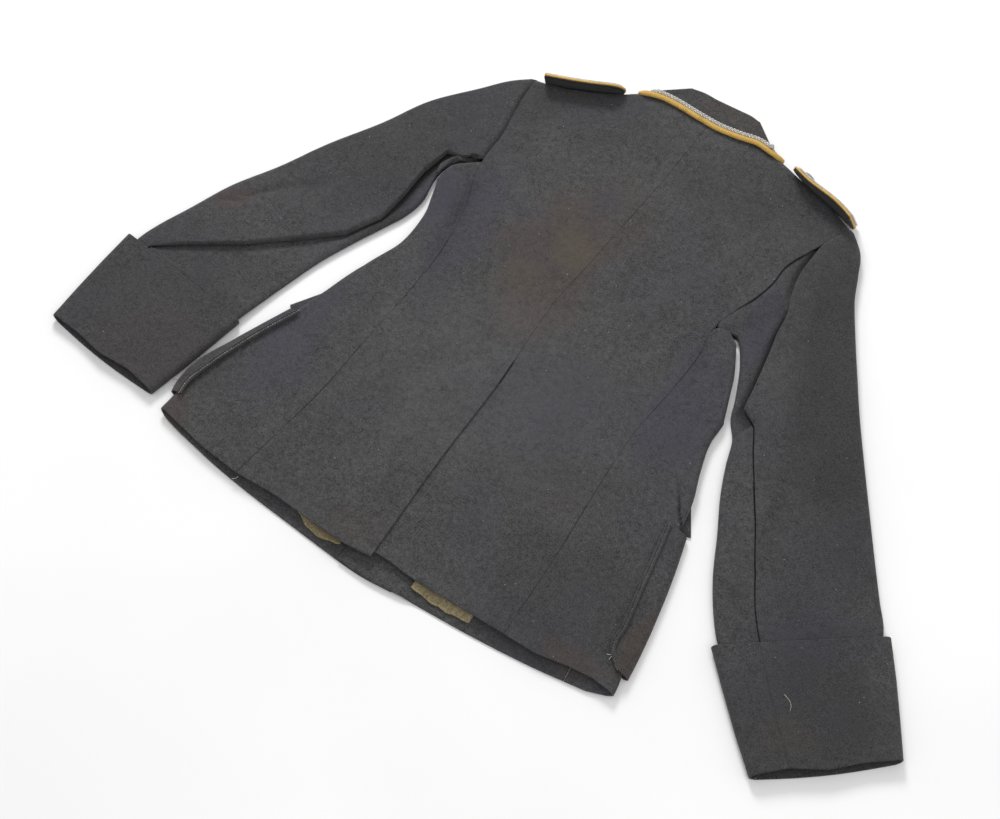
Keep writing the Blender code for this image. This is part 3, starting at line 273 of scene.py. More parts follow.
# Stains and tints of the plan, and blots of painted shade in the darkest tint on the sleeves, cuffs,
# shoulders and right front: middle, half sizes, turn, the most they cover, and colour
BlotRow = namedtuple("BlotRow", "x y wide long turn most tint")
STAIN_AND_SHADE_BLOTS = [BlotRow(*row) for row in (
    (-50, 410, 60, 92, 0.30, 0.34, BROWN), (-24, 500, 50, 70, 0.2, 0.20, BROWN),
    (-34, 440, 22, 30, 0.8, 0.34, OLIVE), (-70, 380, 26, 22, 0.2, 0.24, OLIVE),
    (-40, 520, 16, 22, 0.0, 0.26, VIOLET), (-10, 240, 150, 110, 0.2, 0.24, FADED),
    (-150, 640, 110, 60, -0.4, 0.16, SHADE_BLOT_TONE), (120, 640, 120, 50, 0.4, 0.16, SHADE_BLOT_TONE),
    (-300, 500, 110, 170, -0.5, 0.26, SHADE_BLOT_TONE), (-400, 120, 110, 110, 0.0, 0.24, SHADE_BLOT_TONE),
    (300, 480, 60, 190, 0.45, 0.38, SHADE_BLOT_TONE), (400, 240, 70, 180, 0.5, 0.20, SHADE_BLOT_TONE),
    (460, 60, 110, 110, 0.4, 0.28, SHADE_BLOT_TONE), (200, 60, 90, 70, 0.2, 0.20, SHADE_BLOT_TONE),
    (-160, 395, 34, 96, 0.1, 0.30, VIOLET), (-216, 420, 22, 50, 0.0, 0.42, VIOLET),
    (-236, 170, 34, 90, 0.15, 0.30, VIOLET), (60, 250, 80, 60, 0.3, 0.16, VIOLET),
    (176, 330, 40, 90, 0.1, 0.34, VIOLET), (196, 470, 20, 60, 0.2, 0.36, VIOLET),
    (-360, 70, 60, 56, 0.2, 0.12, BROWN), (-290, 22, 22, 22, 0.0, 0.28, BROWN),
    (236, 12, 40, 16, 0.0, 0.26, BROWN), (-40, 12, 34, 18, 0.0, 0.16, BROWN),
    (282, 70, 12, 60, 0.0, 0.30, BROWN), (-406, 290, 26, 14, 0.9, 0.34, BROWN),
    (430, 170, 60, 30, 0.5, 0.20, VIOLET), (455, 60, 26, 18, 0.4, 0.16, BROWN),
    (30, 712, 70, 12, 0.0, 0.20, BROWN),
)]
YarnRow = namedtuple("YarnRow", "finish name low high grain pitch depth roughness sheen metal")
YARNS = [YarnRow(*row) for row in (
    ("lining", "lining_satin", (0.155, 0.118, 0.055), (0.30, 0.245, 0.13), 500, 380, 0.0002, 0.42, 0.1, 0.0),
    ("piping", "yellow_wool", (0.46, 0.27, 0.035), (0.74, 0.46, 0.115), 900, 300, 0.0003, 0.85, 0.2, 0.0),
    ("silver", "silver_thread", (0.30, 0.29, 0.26), (0.80, 0.78, 0.72), 1400, 700, 0.0003, 0.4, 0.0, 0.45),
    ("button", "grained_metal", (0.20, 0.195, 0.19), (0.44, 0.43, 0.41), 900, 200, 0.0003, 0.42, 0.0, 0.8),
    ("thread", "sewing_thread", (0.12, 0.12, 0.12), (0.24, 0.235, 0.22), 1500, 900, 0.0001, 0.8, 0.0, 0.0),
    ("pale_thread", "pale_thread", (0.4, 0.35, 0.27), (0.62, 0.57, 0.48), 1500, 900, 0.0001, 0.8, 0.0, 0.0),
)]
MATERIALS = {"wool": wool("wool_cloth"), **{row.finish: yarn(row) for row in YARNS}}
paper = Shader("paper")
tone = paper.mix(paper.ramp(paper.noise(3.0, 2), 0.3, 0.7), (0.90, 0.90, 0.90), (0.93, 0.93, 0.93))
MATERIALS["floor"] = paper.finish(Base_Color=tone, Roughness=0.9, Specular_IOR_Level=0.1)
floor_mesh.materials.append(MATERIALS["floor"])
print("materials:", sorted(MATERIALS))

# %% [markdown]
# ## Measurements of the tunic
#
# These tables repeat the solid model's seams, outlines and heights.

# %%
WOOL = 2.0
COLLAR_CLOTH = 2.4
LINING_CLOTH = 1.0
SEAM = 0.03
CURVED_SEAM = 0.10
CLEAR = 0.4
LAYER = WOOL + CLEAR
FOLD_REACH = 7.0
RIM = 0.9  # how far from a cut or sewn edge the cloth starts to round over
SEAM_PRESSED = 10.0  # half width of the double cloth behind a pressed seam
SEAM_SWELL = 0.32
ON_SURFACE = 0.05  # a face below this lies on the surface
BUTTONS = 4
LEAST_FILLED = 0.31  # the least share of its box that a sheet's cut fills

CENTRE_SEAM = [(-3, -7), (-8, 144), (-8, 234), (-14, 375), (-9, 440), (0, 584), (1, 701)]
BACK_HEM = {
    "left": [(-3, -7), (-28, -9.5), (-55, -9.5), (-105, -5), (-130, -3), (-154, -3.2), (-183, -4)],
    "right": [(-3, 0), (47, -3), (112, -3), (161, -3)],
}
PRINCESS = {
    "left": [(-183, -4), (-175, 59), (-167, 131), (-165, 204), (-162, 290), (-165, 361), (-175, 420),
             (-196, 488)],
    "right": [(161, -3), (158, 100), (151, 206), (149, 270), (155, 340), (157, 400), (152, 440)],
}
ARMHOLE = {
    "left": [(-196.5, 496), (-198.5, 512), (-198.5, 535), (-204.5, 570), (-209.5, 598), (-212.6, 638.4)],
    "right": [(152, 440), (160, 470), (172, 502), (178, 530), (179, 556), (191, 588), (218, 648)],
}
SHOULDER = {
    "left": [(1, 701), (-48, 699), (-74, 694), (-96, 688), (-112, 676.5), (-128, 667.5), (-150, 657),
             (-173, 647.5), (-193, 642.3), (-212.6, 638.4)],
    "right": [(1, 701), (50, 699), (78, 696), (98, 692.5), (124, 684), (172, 669.5), (218, 648)],
}
FRONT_HEM = [(-304, 15), (-287, 9), (-268, 4.5), (-218, -5), (-174, -11.5), (-122, -17), (-96, -19.5),
             (-60, -23), (0, -27), (57, -23), (129, -20), (219, -12), (262, -6), (289, 3)]
SIDE_HEM = {
    "left": [(-183, -4), (-236, 2), (-273, 10), (-304, 16.5)],
    "right": [(161, -3), (200, -3), (237, 4), (263, 6), (289, 3)],
}
SIDE_TOP = {
    "left": [(-196.5, 496), (-207, 488.5), (-219, 479.5), (-226.5, 471), (-230, 461)],
    "right": [(152, 441), (158, 448.5), (168, 448), (184.5, 437), (204.5, 405), (221.5, 365)],
}
UNDERARM_HEIGHT = 7.6
SIDE_UNDER_TOP = {"left": 462.0, "right": 436.0}

SideRow = namedtuple("SideRow", "y left right")
SIDE_FOLDS = [SideRow(*row) for row in (
    (-30, -304, 289), (3, -304, 289), (18, -303, 287), (45, -301, 277), (80, -298, 270), (122, -286, 262),
    (160, -273, 256), (200, -257, 250.5), (240, -245, 243.5), (270, -237, 233.5), (310, -224, 223.5),
    (345, -212, 223), (360, -210.5, 221), (375, -210.5, 215.5), (400, -213.5, 205), (418, -219.5, 197),
    (430, -224, 190), (442, -228, 180), (452, -229.5, 169), (470, -228, 156), (520, -228, 156),
)]
CrownRow = namedtuple("CrownRow", "y centre side")
CROWN = [CrownRow(*row) for row in (
    (-30, 12.5, 10.5), (20, 12.5, 11.5), (120, 13.5, 12.0), (240, 14.5, 12.0), (330, 15.5, 12.0),
    (450, 18.0, 13.0), (560, 19.0, 14.5), (650, 17.5, 14.0), (710, 15.5, 13.5),
)]

# A fold is a soft trough (-) or ridge (+) along a line, with its height and half width
FoldRow = namedtuple("FoldRow", "x0 y0 x1 y1 height reach")


def folds(*rows):
    return [FoldRow(*row) for row in rows]


BODY_FOLDS = folds(
    (-188, 470, -158, 330, -3.2, 13), (-212, 455, -196, 360, 1.6, 13), (-128, 360, -120, 250, -1.0, 22),
    (152, 470, 166, 350, -1.8, 12), (178, 425, 196, 330, 1.2, 12), (176, 545, 120, 600, -1.2, 16),
    (-210, 240, -225, 60, 1.2, 26), (70, 330, 88, 120, -0.9, 28), (-70, 520, 60, 520, 1.2, 60),
    # smaller creases, which only the looks have
    (-184, 455, -172, 385, -1.5, 7), (-172, 372, -150, 300, -0.9, 9), (-196, 500, -178, 452, 0.9, 7),
    (-205, 466, -186, 430, 0.8, 6), (-222, 440, -200, 420, -0.7, 5), (-214, 404, -190, 396, -0.6, 4),
    (118, 470, 96, 372, -0.8, 13), (88, 430, 60, 330, -0.5, 17), (150, 500, 128, 420, -0.9, 9),
    (166, 520, 178, 470, 0.8, 8), (120, 560, 80, 520, -0.6, 14), (170, 366, 192, 360, -1.0, 3.6),
    (160, 352, 186, 341, -0.8, 3.2), (166, 336, 180, 322, 0.6, 4), (182, 356, 176, 300, -0.9, 4.5),
    (196, 352, 202, 296, -0.8, 4), (208, 330, 200, 276, -0.7, 5), (160, 410, 176, 372, -0.9, 6),
    (-110, 230, -104, 60, -0.7, 16), (-60, 190, -70, 40, 0.5, 20), (40, 180, 52, 30, -0.5, 18),
    (116, 190, 124, 40, -0.6, 14), (200, 170, 190, 40, 0.7, 12), (-20, 640, -6, 560, -0.5, 16),
    (-80, 640, -130, 560, -0.5, 20), (-214, 300, -190, 240, -0.8, 9), (-236, 250, -206, 196, -0.7, 8),
    (-150, 620, -186, 560, -0.7, 12), (60, 660, 96, 600, -0.5, 14), (-40, 300, 20, 290, -0.35, 12),
)

SleeveRow = namedtuple("SleeveRow", "outer_x outer_y inner_x inner_y fold drop lap crest under base")
SLEEVE = {
    "left": [
        (-214.6, 639.4, -240, 470, 0.80, 5.6, 7.0, 14.0, 6.2, 0.0),
        (-236, 622, -236.5, 458, 0.80, 6.2, 7.5, 14.0, 6.2, 0.0),
        (-262, 590, -232, 437, 0.70, 6.6, 8.0, 14.0, 6.2, 0.0),
        (-303, 539, -226.5, 411, 0.73, 6.6, 8.0, 14.0, 6.2, 0.0),
        (-333, 478, -230.5, 383, 0.84, 6.6, 8.0, 13.5, 6.0, 0.0),
        (-366, 421, -241, 357, 0.93, 6.4, 8.0, 13.0, 6.0, 0.0),
        (-397, 356, -259, 316, 0.91, 6.4, 8.0, 13.0, 6.0, 0.0),
        (-428, 300, -276, 272, 0.73, 6.4, 8.0, 13.0, 6.0, 0.0),
        (-447, 250, -286, 236, 0.53, 5.8, 8.0, 12.5, 6.2, 0.0),
        (-464, 206, -296, 196, 0.26, 4.6, 7.0, 12.0, 6.8, 0.6),
        (-470, 182, -304, 160, 0.12, 1.4, -1.0, 11.2, 9.6, 2.2),
        (-471, 166, -308, 142, 0.11, 1.2, -1.0, 10.6, 9.2, 2.4),
    ],
    "right": [
        (218.8, 649, 163, 457, 0.20, 4.4, 5.0, 14.5, 7.6, 0.0),
        (241, 625, 180.5, 446, 0.53, 5.6, 7.0, 14.5, 7.2, 0.0),
        (253.5, 596.5, 198, 420, 0.70, 6.4, 8.0, 14.5, 6.6, 0.0),
        (268, 560, 217, 376, 0.82, 6.4, 8.0, 14.0, 6.4, 0.0),
        (290, 520, 225.5, 351, 0.90, 5.4, 5.0, 13.5, 6.6, 0.0),
        (318, 472, 241, 327, 0.83, 3.6, -1.0, 13.0, 9.0, 0.0),
        (341, 433, 250, 298, 0.80, 1.6, -1.0, 13.0, 11.6, 0.0),
        (365, 395, 262, 266, 0.77, 1.0, -1.0, 13.0, 12.2, 0.0),
        (402, 338, 285, 218, 0.75, 1.0, -1.0, 12.5, 11.8, 0.0),
        (440, 280, 308, 169, 0.74, 1.0, -1.0, 12.0, 11.4, 0.0),
        (464, 244, 328, 136, 0.75, 1.0, -1.0, 11.5, 10.9, 0.8),
        (483, 216, 348, 110, 0.75, 1.0, -1.0, 11.0, 10.4, 2.3),
        (489, 201, 360, 99, 0.75, 1.0, -1.0, 10.6, 10.0, 2.4),
    ],
}
SLEEVE_FOLDS = {
    "left": folds(
        (-418, 284, -352, 350, -1.5, 7), (-352, 340, -330, 372, -1.8, 10), (-330, 470, -262, 452, 0.9, 20),
        (-428, 276, -396, 290, -1.3, 3.5), (-400, 296, -372, 334, -0.9, 4), (-300, 372, -322, 402, -0.8, 9),
        (-262, 470, -232, 492, -1.1, 6), (-290, 500, -240, 520, -0.7, 9), (-350, 440, -300, 420, -0.5, 10),
        (-400, 250, -370, 262, -0.6, 8), (-440, 226, -420, 250, 0.6, 9), (-380, 400, -356, 372, 0.5, 9),
        (-226, 560, -250, 520, -0.6, 9), (-240, 600, -290, 530, 0.5, 12),
    ),
    "right": folds(
        (300, 372, 342, 205, -1.8, 10), (330, 372, 372, 232, 1.0, 14), (226, 585, 262, 470, -1.4, 11),
        (250, 600, 246, 565, -1.2, 8), (286, 470, 300, 400, -0.8, 9), (270, 440, 292, 360, 0.7, 9),
        (352, 330, 388, 236, -0.5, 12), (248, 540, 282, 500, -0.5, 9), (316, 300, 330, 262, -0.8, 5),
        (232, 606, 256, 590, -1.0, 6), (228, 590, 240, 560, 0.8, 6), (400, 262, 430, 214, 0.5, 12),
        (262, 372, 286, 330, -0.5, 6), (344, 190, 384, 168, -0.4, 10),
    ),
}
UNDER_FOLDS = {
    "left": folds(
        (-330, 236, -312, 180, -0.7, 7), (-360, 230, -340, 180, 0.6, 10), (-300, 250, -290, 214, -0.6, 5),
        (-400, 200, -372, 176, -0.5, 8), (-246, 455, -236, 420, -0.8, 4),
    ),
    "right": folds(
        (196, 486, 204, 440, -1.2, 7), (208, 520, 214, 470, 0.7, 6), (214, 430, 226, 372, -0.8, 6),
        (178, 470, 200, 462, -0.6, 5), (300, 236, 322, 190, -0.5, 6), (272, 300, 286, 262, 0.5, 7),
    ),
}
UNDERARM = {
    "left": [(-196.5, 498.2), (-208.4, 490.6), (-220.6, 481.4), (-228.6, 472.2), (-232.2, 463.5)],
    "right": [(153, 443.8), (160.4, 454.4), (163.4, 457.6)],
}
SLEEVE_SEAM_REACH = 0.105
SEAM_HEIGHT = 12.8  # the under sleeve comes up to the back's edge at the armhole
SEAM_HEIGHT_REACH = 0.075
SEAM_CLIMB = 16.0
SLEEVE_CROWN = 1.2
SEAM_SHARE_UNDER = 0.25

CUFF = {
    "left": [(-483, 180, -300.5, 154, 13.6), (-484, 135, -308, 110, 13.2), (-484, 90, -316, 66, 12.6),
             (-483, 45, -324, 26, 12.0)],
    "right": [(493, 213, 344, 103, 13.6), (518, 176, 377, 69, 13.2), (542, 138, 411, 35, 13.0),
              (564, 102, 445, 3, 13.6)],
}
CUFF_FOLDS = {
    "left": folds(
        (-430, 150, -396, 60, -0.6, 16), (-350, 130, -360, 60, 0.6, 14), (-470, 100, -440, 60, 0.4, 14),
        (-400, 44, -380, 60, 0.8, 12), (-440, 48, -432, 66, -0.7, 10), (-340, 40, -352, 60, -0.8, 10),
    ),
    "right": folds(
        (420, 150, 470, 90, 0.5, 18), (500, 170, 530, 110, -0.5, 16), (448, 40, 440, 60, -0.8, 10),
        (500, 62, 492, 80, 0.8, 12), (540, 92, 528, 104, -0.6, 10), (390, 96, 420, 60, -0.4, 12),
    ),
}
CUFF_SEAM = {"left": None, "right": 0.745}
CUFF_MOUTH_WAVE = [(0.0, 0.0), (0.25, -1.0), (0.5, 2.5), (0.75, -3.0), (1.0, 0.0)]
MOUTH_UNDER_REACH = 4.0

COLLAR_EDGE = [(-84, 691), (-66, 695), (-47, 695), (-13, 691.7), (15, 690), (41, 692.5), (66, 696.5),
               (84, 693.5)]
COLLAR_ROLL = [(-39, 721), (-24, 723.4), (-7, 722.7), (8, 723), (23, 723.2), (40, 723), (50, 720.5)]
NECK_SEAM = [(-60, 704.5), (-30, 702.6), (4, 702), (38, 702.6), (68, 704.5)]
COLLAR_EDGE_HEIGHT = 19.6
COLLAR_ROLL_HEIGHT = 25.0
COLLAR_ROLL_THICK = 8.6
COLLAR_TURN_FROM = 14.4  # height between the stand, which turns in, and the fall, which turns out
COLLAR_END_HEIGHT = 5.0
COLLAR_TURN_OUT = 4.0
COLLAR_TURN_IN = 2.0
CORD_RADIUS = 2.7
# Where the edge's piping and cord go round the neck's ends and down, as x, y and height
PIPING_START = [(-96.0, 691.5, 7.5), (-94.5, 689.3, 12.0), (-91.5, 687.2, 16.0), (-87.5, 686.8, 18.8)]
PIPING_END = [(88.0, 690.0, 18.8), (93.0, 690.8, 16.0), (97.5, 692.6, 12.0), (99.8, 694.8, 7.5)]
CORD_START = [(-84.5, 692.0, 14.0), (-81.0, 693.4, 18.6), (-74.0, 695.8, 21.2)]
CORD_END = [(84.5, 695.0, 20.0), (88.5, 693.8, 15.5)]
CORD_FROM_X = -66.0
PLAIT_LENGTH = 13.0  # length of cord in which a strand crosses over and back
PLAIT_WIDE = 1.7
STRAND_RADIUS = 1.2

StrapRow = namedtuple("StrapRow", "sleeve_x sleeve_y neck_x neck_y bow wave tilt")
STRAPS = {
    "left": StrapRow(-196.0, 627.2, -104.1, 665.6, -2.0, 0.0, 66),
    "right": StrapRow(210.7, 640.8, 116.8, 674.0, 0.0, 2.4, 66),
}
STRAP_WIDTH = 40.0
STRAP_BASE = 2.2
STRAP_PIPING = 3.0
STRAP_BRAID = 2.4
STRAP_GAP = 0.5
STRAP_FOOT = 0.4
BASE_INSET = 1.2
BRAID_INSET = 3.4
# A strap's button: rings by depth and radius
STUD = [(0.0, 6.6), (0.3, 7.2), (0.8, 7.6), (1.3, 7.5), (2.0, 6.9), (2.8, 5.6), (3.4, 3.8), (3.8, 1.2)]

PocketRow = namedtuple("PocketRow", "y top_edge outer")
POCKET = {
    "left": [PocketRow(*row) for row in (
        (40, -297, -308.5), (55, -299, -311.5), (85, -293, -310), (128, -280, -294), (163, -267, -280),
        (199, -252, -265),
    )],
    "right": [PocketRow(*row) for row in (
        (26, 281, 292), (42, 266, 290.5), (72, 262, 286.5), (110, 255, 280), (152, 248, 271.5),
        (198, 240, 260),
    )],
}
POCKET_INNER_X = 112.0
POCKET_WALL = 1.8
FLAP = {
    "left": [(-234, 264), (-270, 207), (-264, 201.5), (-112, 201.5), (-112, 264)],
    "right": [(226, 266), (263, 202), (256, 200.5), (112, 200.5), (112, 266)],
}
LAP = 34.0
BREAK_Y = 436.0
NECK_POINT = {"left": (-84, 690), "right": (90, 690)}
UNDER_SEAM = 0.25
LINING = {"left": ((-101, -3.5), (-42, -9), 8.5), "right": ((50, -10), (122, -10), 3.0)}
SIDE_PANEL_UNDER = 52.0
LIFTS = [(-330, -92, 10, 292), (92, 310, 10, 292), (-16, 16, 40, 760), (-118, 118, 430, 760)]
LIFT_RAMP = 26.0
# The right pocket flap's edge on the side panel
FLAP_END = [(256, 196), (248, 206), (240, 216), (229, 234), (217, 251), (209, 258)]
FLAP_STEP = 1.8
# Painted shade in the troughs of folds: the dark tone's share for each millimetre of depth
TROUGH_SHADE_PER_MM = 0.07  # share of dark tone for each millimetre of a trough's depth
VENT_TOP = 236.0
VENT_UNDERLAY = 38.0
SIGN = {"left": -1, "right": 1}

# Loose threads: ends, height and how far they bow
ThreadRow = namedtuple("ThreadRow", "x0 y0 x1 y1 height bow finish")
LOOSE = [ThreadRow(*row) for row in (
    (432, 96, 446, 78, 14.2, 5.0, "pale_thread"), (-309, 52, -314, 46, 6.0, 1.5, "pale_thread"),
    (-311, 55, -315, 52, 7.5, -1.2, "thread"), (-180, -5, -184, -11, 8.0, 1.4, "pale_thread"),
    (266, 40, 261, 35, 15.6, 1.6, "pale_thread"), (269, 38, 266, 31, 15.6, -1.2, "pale_thread"),
)]
DUSTED = ["back_left", "back_right", "side_right", "sleeve_left_top", "sleeve_right_top", "cuff_left",
          "cuff_right"]
print("tables:", len(BODY_FOLDS), "body folds,", sum(len(v) for v in SLEEVE_FOLDS.values()), "sleeve folds")

# %% [markdown]
# ## Curves, heights and shells


# %%
def smoothstep(value):
    value = np.clip(value, 0.0, 1.0)
    return value * value * (3 - 2 * value)


def hermite(x, xs, ys):
    """Values of a smooth curve through the points xs, ys. ys may have columns."""
    xs, ys = np.asarray(xs, float), np.asarray(ys, float)
    slope = np.gradient(ys, xs, axis=0)
    x = np.clip(np.asarray(x, float), xs[0], xs[-1])
    i = np.clip(np.searchsorted(xs, x, side="right") - 1, 0, len(xs) - 2)
    step = (xs[i + 1] - xs[i])
    t = (x - xs[i]) / step
    if ys.ndim > 1:
        t, step = t[..., None], step[..., None]
    return (ys[i] * (2 * t**3 - 3 * t**2 + 1) + slope[i] * step * (t**3 - 2 * t**2 + t)
            + ys[i + 1] * (3 * t**2 - 2 * t**3) + slope[i + 1] * step * (t**3 - t**2))


def curve(points, at):
    """Points at shares of the length, or at that many equal steps, on a smooth curve through points."""
    p = np.array(points, float)
    step = np.maximum(np.linalg.norm(np.diff(p[:, :2], axis=0), axis=1), 1e-6)
    along = np.concatenate([[0], np.cumsum(step)])
    where = np.linspace(0, 1, at) if isinstance(at, int) else np.asarray(at, float)
    return hermite(where * along[-1], along, p)


def along_polyline(points, count):
    p = np.array(points, float)
    along = np.concatenate([[0], np.cumsum(np.linalg.norm(np.diff(p, axis=0), axis=1))])
    where = np.linspace(0, along[-1], count)
    return np.stack([np.interp(where, along, p[:, k]) for k in range(p.shape[1])], 1)


def lookup(rows, y, column):
    return hermite(y, [r.y for r in rows], [getattr(r, column) for r in rows])


def crowded(count, tight=0.8):
    """Shares from 0 to 1 that lie closer together at both ends."""
    t = np.linspace(0, 1, count)
    return t - tight * np.sin(2 * np.pi * t) / (2 * np.pi)


def patch(bottom, top, inner, outer, u, v):
    """The plan grid between four edges. Rows go from bottom to top, columns from inner to outer."""
    v, u = np.asarray(v)[:, None, None], np.asarray(u)[None, :, None]
    across = (1 - v) * bottom[None] + v * top[None]
    along = (1 - u) * inner[:, None] + u * outer[:, None]
    corners = (1 - v) * ((1 - u) * bottom[0] + u * bottom[-1]) + v * ((1 - u) * top[0] + u * top[-1])
    return across + along - corners


def folds_at(rows, x, y):
    """Total height of the fold lines at plan points."""
    total = np.zeros(np.broadcast(x, y).shape)
    for f in rows:
        dx, dy = f.x1 - f.x0, f.y1 - f.y0
        share = ((x - f.x0) * dx + (y - f.y0) * dy) / (dx * dx + dy * dy)
        near = np.clip(share, 0, 1)
        away = np.hypot(x - f.x0 - near * dx, y - f.y0 - near * dy)
        swell = np.sin(np.pi * np.clip(0.12 + 0.76 * share, 0, 1))
        total = total + f.height * swell * np.exp(-((away / f.reach) ** 2))
    return total


def lift(x, y):
    """How far the fronts are raised by what lies below them."""
    most = np.zeros(np.broadcast(x, y).shape)
    for x0, x1, y0, y1 in LIFTS:
        past_x, past_y = np.maximum(x0 - x, x - x1), np.maximum(y0 - y, y - y1)
        outside = np.hypot(np.maximum(past_x, 0), np.maximum(past_y, 0))
        most = np.maximum(most, smoothstep(1 - outside / LIFT_RAMP))
    return LAYER * most


def back_height(x, y):
    """Height of the back's outer face."""
    x, y = np.asarray(x, float), np.asarray(y, float)
    half = np.where(x < 0, -lookup(SIDE_FOLDS, y, "left"), lookup(SIDE_FOLDS, y, "right"))
    share = np.clip(np.abs(x) / half, 0, 1)
    side, centre = lookup(CROWN, y, "side"), lookup(CROWN, y, "centre")
    return side + (centre - side) * (1 - share**2) + folds_at(BODY_FOLDS, x, y)


def painted_trough_shade(folds):
    """Painted shade: how much darker the cloth is painted in the troughs of folds, by their depth."""
    return TROUGH_SHADE_PER_MM * np.clip(-folds, 0, 4)


def roll_down(height, low, distance, reach):
    """Height of a face that rolls down to low at its edge, distance away from it."""
    share = np.clip(distance / reach, 0, 1)
    return low + (height - low) * np.sqrt(np.clip(1 - (1 - share) ** 2, 0, 1))


def pressed(distance):
    """The slight rise of a pressed seam's double cloth."""
    return SEAM_SWELL * smoothstep((SEAM_PRESSED - distance) / 2.5 + 0.5)


def normals_of(grid, ring=False):
    wide = np.concatenate([grid[:, -2:-1], grid, grid[:, 1:2]], axis=1) if ring else grid
    n = np.cross(np.gradient(wide, axis=1), np.gradient(wide, axis=0))
    n = n[:, 1:-1] if ring else n
    n = n / np.maximum(np.linalg.norm(n, axis=2, keepdims=True), 1e-9)
    for end, beside in ((0, 1), (-1, -2)):
        turned = (n[end] * n[beside]).sum(axis=1) < 0.8
        n[end][turned] = n[beside][turned]
    return n


def new_piece(name, points, faces, finish):
    """A smooth mesh in metres in the frame, from points in millimetres in the plan."""
    mesh = bpy.data.meshes.new(name)
    mesh.from_pydata(((np.asarray(points, float) - CENTRE) * MM).tolist(), [], faces)
    mesh.update()
    mesh.materials.append(MATERIALS[finish])
    mesh.shade_smooth()
    return added(name, mesh)


def quads(index):
    """The faces of a grid of point numbers."""
    return np.stack([index[:-1, :-1], index[:-1, 1:], index[1:, 1:], index[1:, :-1]], -1).reshape(-1, 4)


def inside_out(points, faces):
    """Whether faces with four corners face inwards."""
    a, b, c, d = (points[faces[:, k]] for k in range(4))
    return float((a * (np.cross(b, c) + np.cross(c, d))).sum()) < 0


def between(name, outer, inner, finish, ring=False):
    """A closed shell between two grids of the same size. A ring's last column repeats its first."""
    if ring:
        outer, inner = outer[:, :-1], inner[:, :-1]
    points = np.concatenate([outer.reshape(-1, 3), inner.reshape(-1, 3)])
    index = np.arange(len(points) // 2).reshape(outer.shape[:2])
    if ring:
        index = np.concatenate([index, index[:, :1]], axis=1)
    other = index + len(points) // 2
    rims = [(index[0], other[0]), (index[-1, ::-1], other[-1, ::-1])]
    if not ring:
        rims += [(index[::-1, 0], other[::-1, 0]), (index[:, -1], other[:, -1])]
    faces = [quads(index), quads(other)[:, ::-1]] + [quads(np.stack(rim, 1)) for rim in rims]
    faces = np.concatenate(faces)
    if inside_out(points, faces):
        faces = faces[:, ::-1]
    return new_piece(name, points, faces.tolist(), finish)


def mark(piece, name, values):
    """Gives each point of a piece a number that its material reads."""
    attribute = piece.data.attributes.new(name, "FLOAT", "POINT")
    attribute.data.foreach_set("value", np.asarray(values, np.float32))


def stands_for(piece, node):
    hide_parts(node)
    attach(piece, "root")
    return piece


def seam_depth(x, y):
    """How deep the stitching draws a seam in, from 0.2 to 1, changing slowly along it."""
    wave = np.sin(y / 31 + x / 57) + 0.7 * np.sin(y / 13.3 - x / 41 + 1.3) + 0.5 * np.sin(y / 71 + 0.6)
    centre = np.exp(-((x / 40) ** 2)) * smoothstep((y - VENT_TOP - 40) / 60)
    return (0.2 + 0.8 * smoothstep(0.5 + 0.36 * wave)) * (1 - 0.75 * centre)


def run_along(grid, axis):
    """How far each point of a grid is from its first row or column, along the cloth."""
    steps = np.linalg.norm(np.diff(grid, axis=axis), axis=2)
    return np.insert(np.cumsum(steps, axis=axis), 0, 0.0, axis=axis)


def cloth(node, grid, thick, finish, outside, ring=False, sewn="", rests_on=(), with_pieces=(),
          own_sheet=True, shade=None):
    """A cloth shell whose outer face is the grid, standing for a CAD node.

    outside is "up", "down" or "away" from each row's middle. sewn names the grid's edges that are sewn to
    other cloth, from "first row", "last row", "first column" and "last column".
    """
    grid = np.asarray(grid, float)
    n = normals_of(grid, ring)
    from_middle = grid - grid.mean(axis=1, keepdims=True)
    facing = {"up": n[..., 2].sum(), "down": -n[..., 2].sum(), "away": (from_middle * n).sum()}[outside]
    n = n * (1 if facing > 0 else -1)
    if outside == "away":
        n[grid[..., 2] < ON_SURFACE] = (0, 0, -1)
    down, across = run_along(grid, 0), run_along(grid, 1)
    sides = {"first row": down, "last row": down[-1:] - down}
    if not ring:
        sides.update({"first column": across, "last column": across[:, -1:] - across})
    edge = np.minimum.reduce(list(sides.values()))
    drawn_in = seam_depth(grid[..., 0], grid[..., 1])
    tuck = thick * 0.46 * (1 - np.sqrt(1 - (1 - np.clip(edge / RIM, 0, 1)) ** 2))
    seam = np.zeros(grid.shape[:2])
    for name in sides:
        if name in sewn:
            seam = np.maximum(seam, np.exp(-((sides[name] / 0.8) ** 2)) * drawn_in)
            tuck = np.where(sides[name] <= edge + 1e-9, tuck * drawn_in, tuck)
    tuck = tuck[..., None]
    made = between(node + "_cloth", grid - n * tuck, grid - n * (thick - tuck), finish, ring)
    seam = (seam[:, :-1] if ring else seam).ravel()
    mark(made, "seam", np.concatenate([seam, 0.4 * seam]))
    if shade is not None:
        mark(made, "shade", np.tile(np.ravel(shade), 2))
    stands_for(made, node)
    if own_sheet:
        twice = np.cross(grid[1:, 1:] - grid[:-1, :-1], grid[1:, :-1] - grid[:-1, 1:])
        area = float(np.linalg.norm(twice, axis=2).sum()) / 2 * MM * MM
        size = (across[:, -1].max() * MM, down[-1].max() * MM)
        sheet(made, node, size, min(area, size[0] * size[1]), rests_on=rests_on, with_pieces=with_pieces)
    return made


def sheet(piece, name, size, area, **facts):
    """States a sheet's flat cut, in metres, and its area in square metres."""
    CUTS[name] = (*size, area)


CUTS = {}
print("helpers ready")

# %% [markdown]
# ## Stitches and lint
#
# Stitches follow a path and lint lies scattered on the cloth, so Geometry Nodes make both.


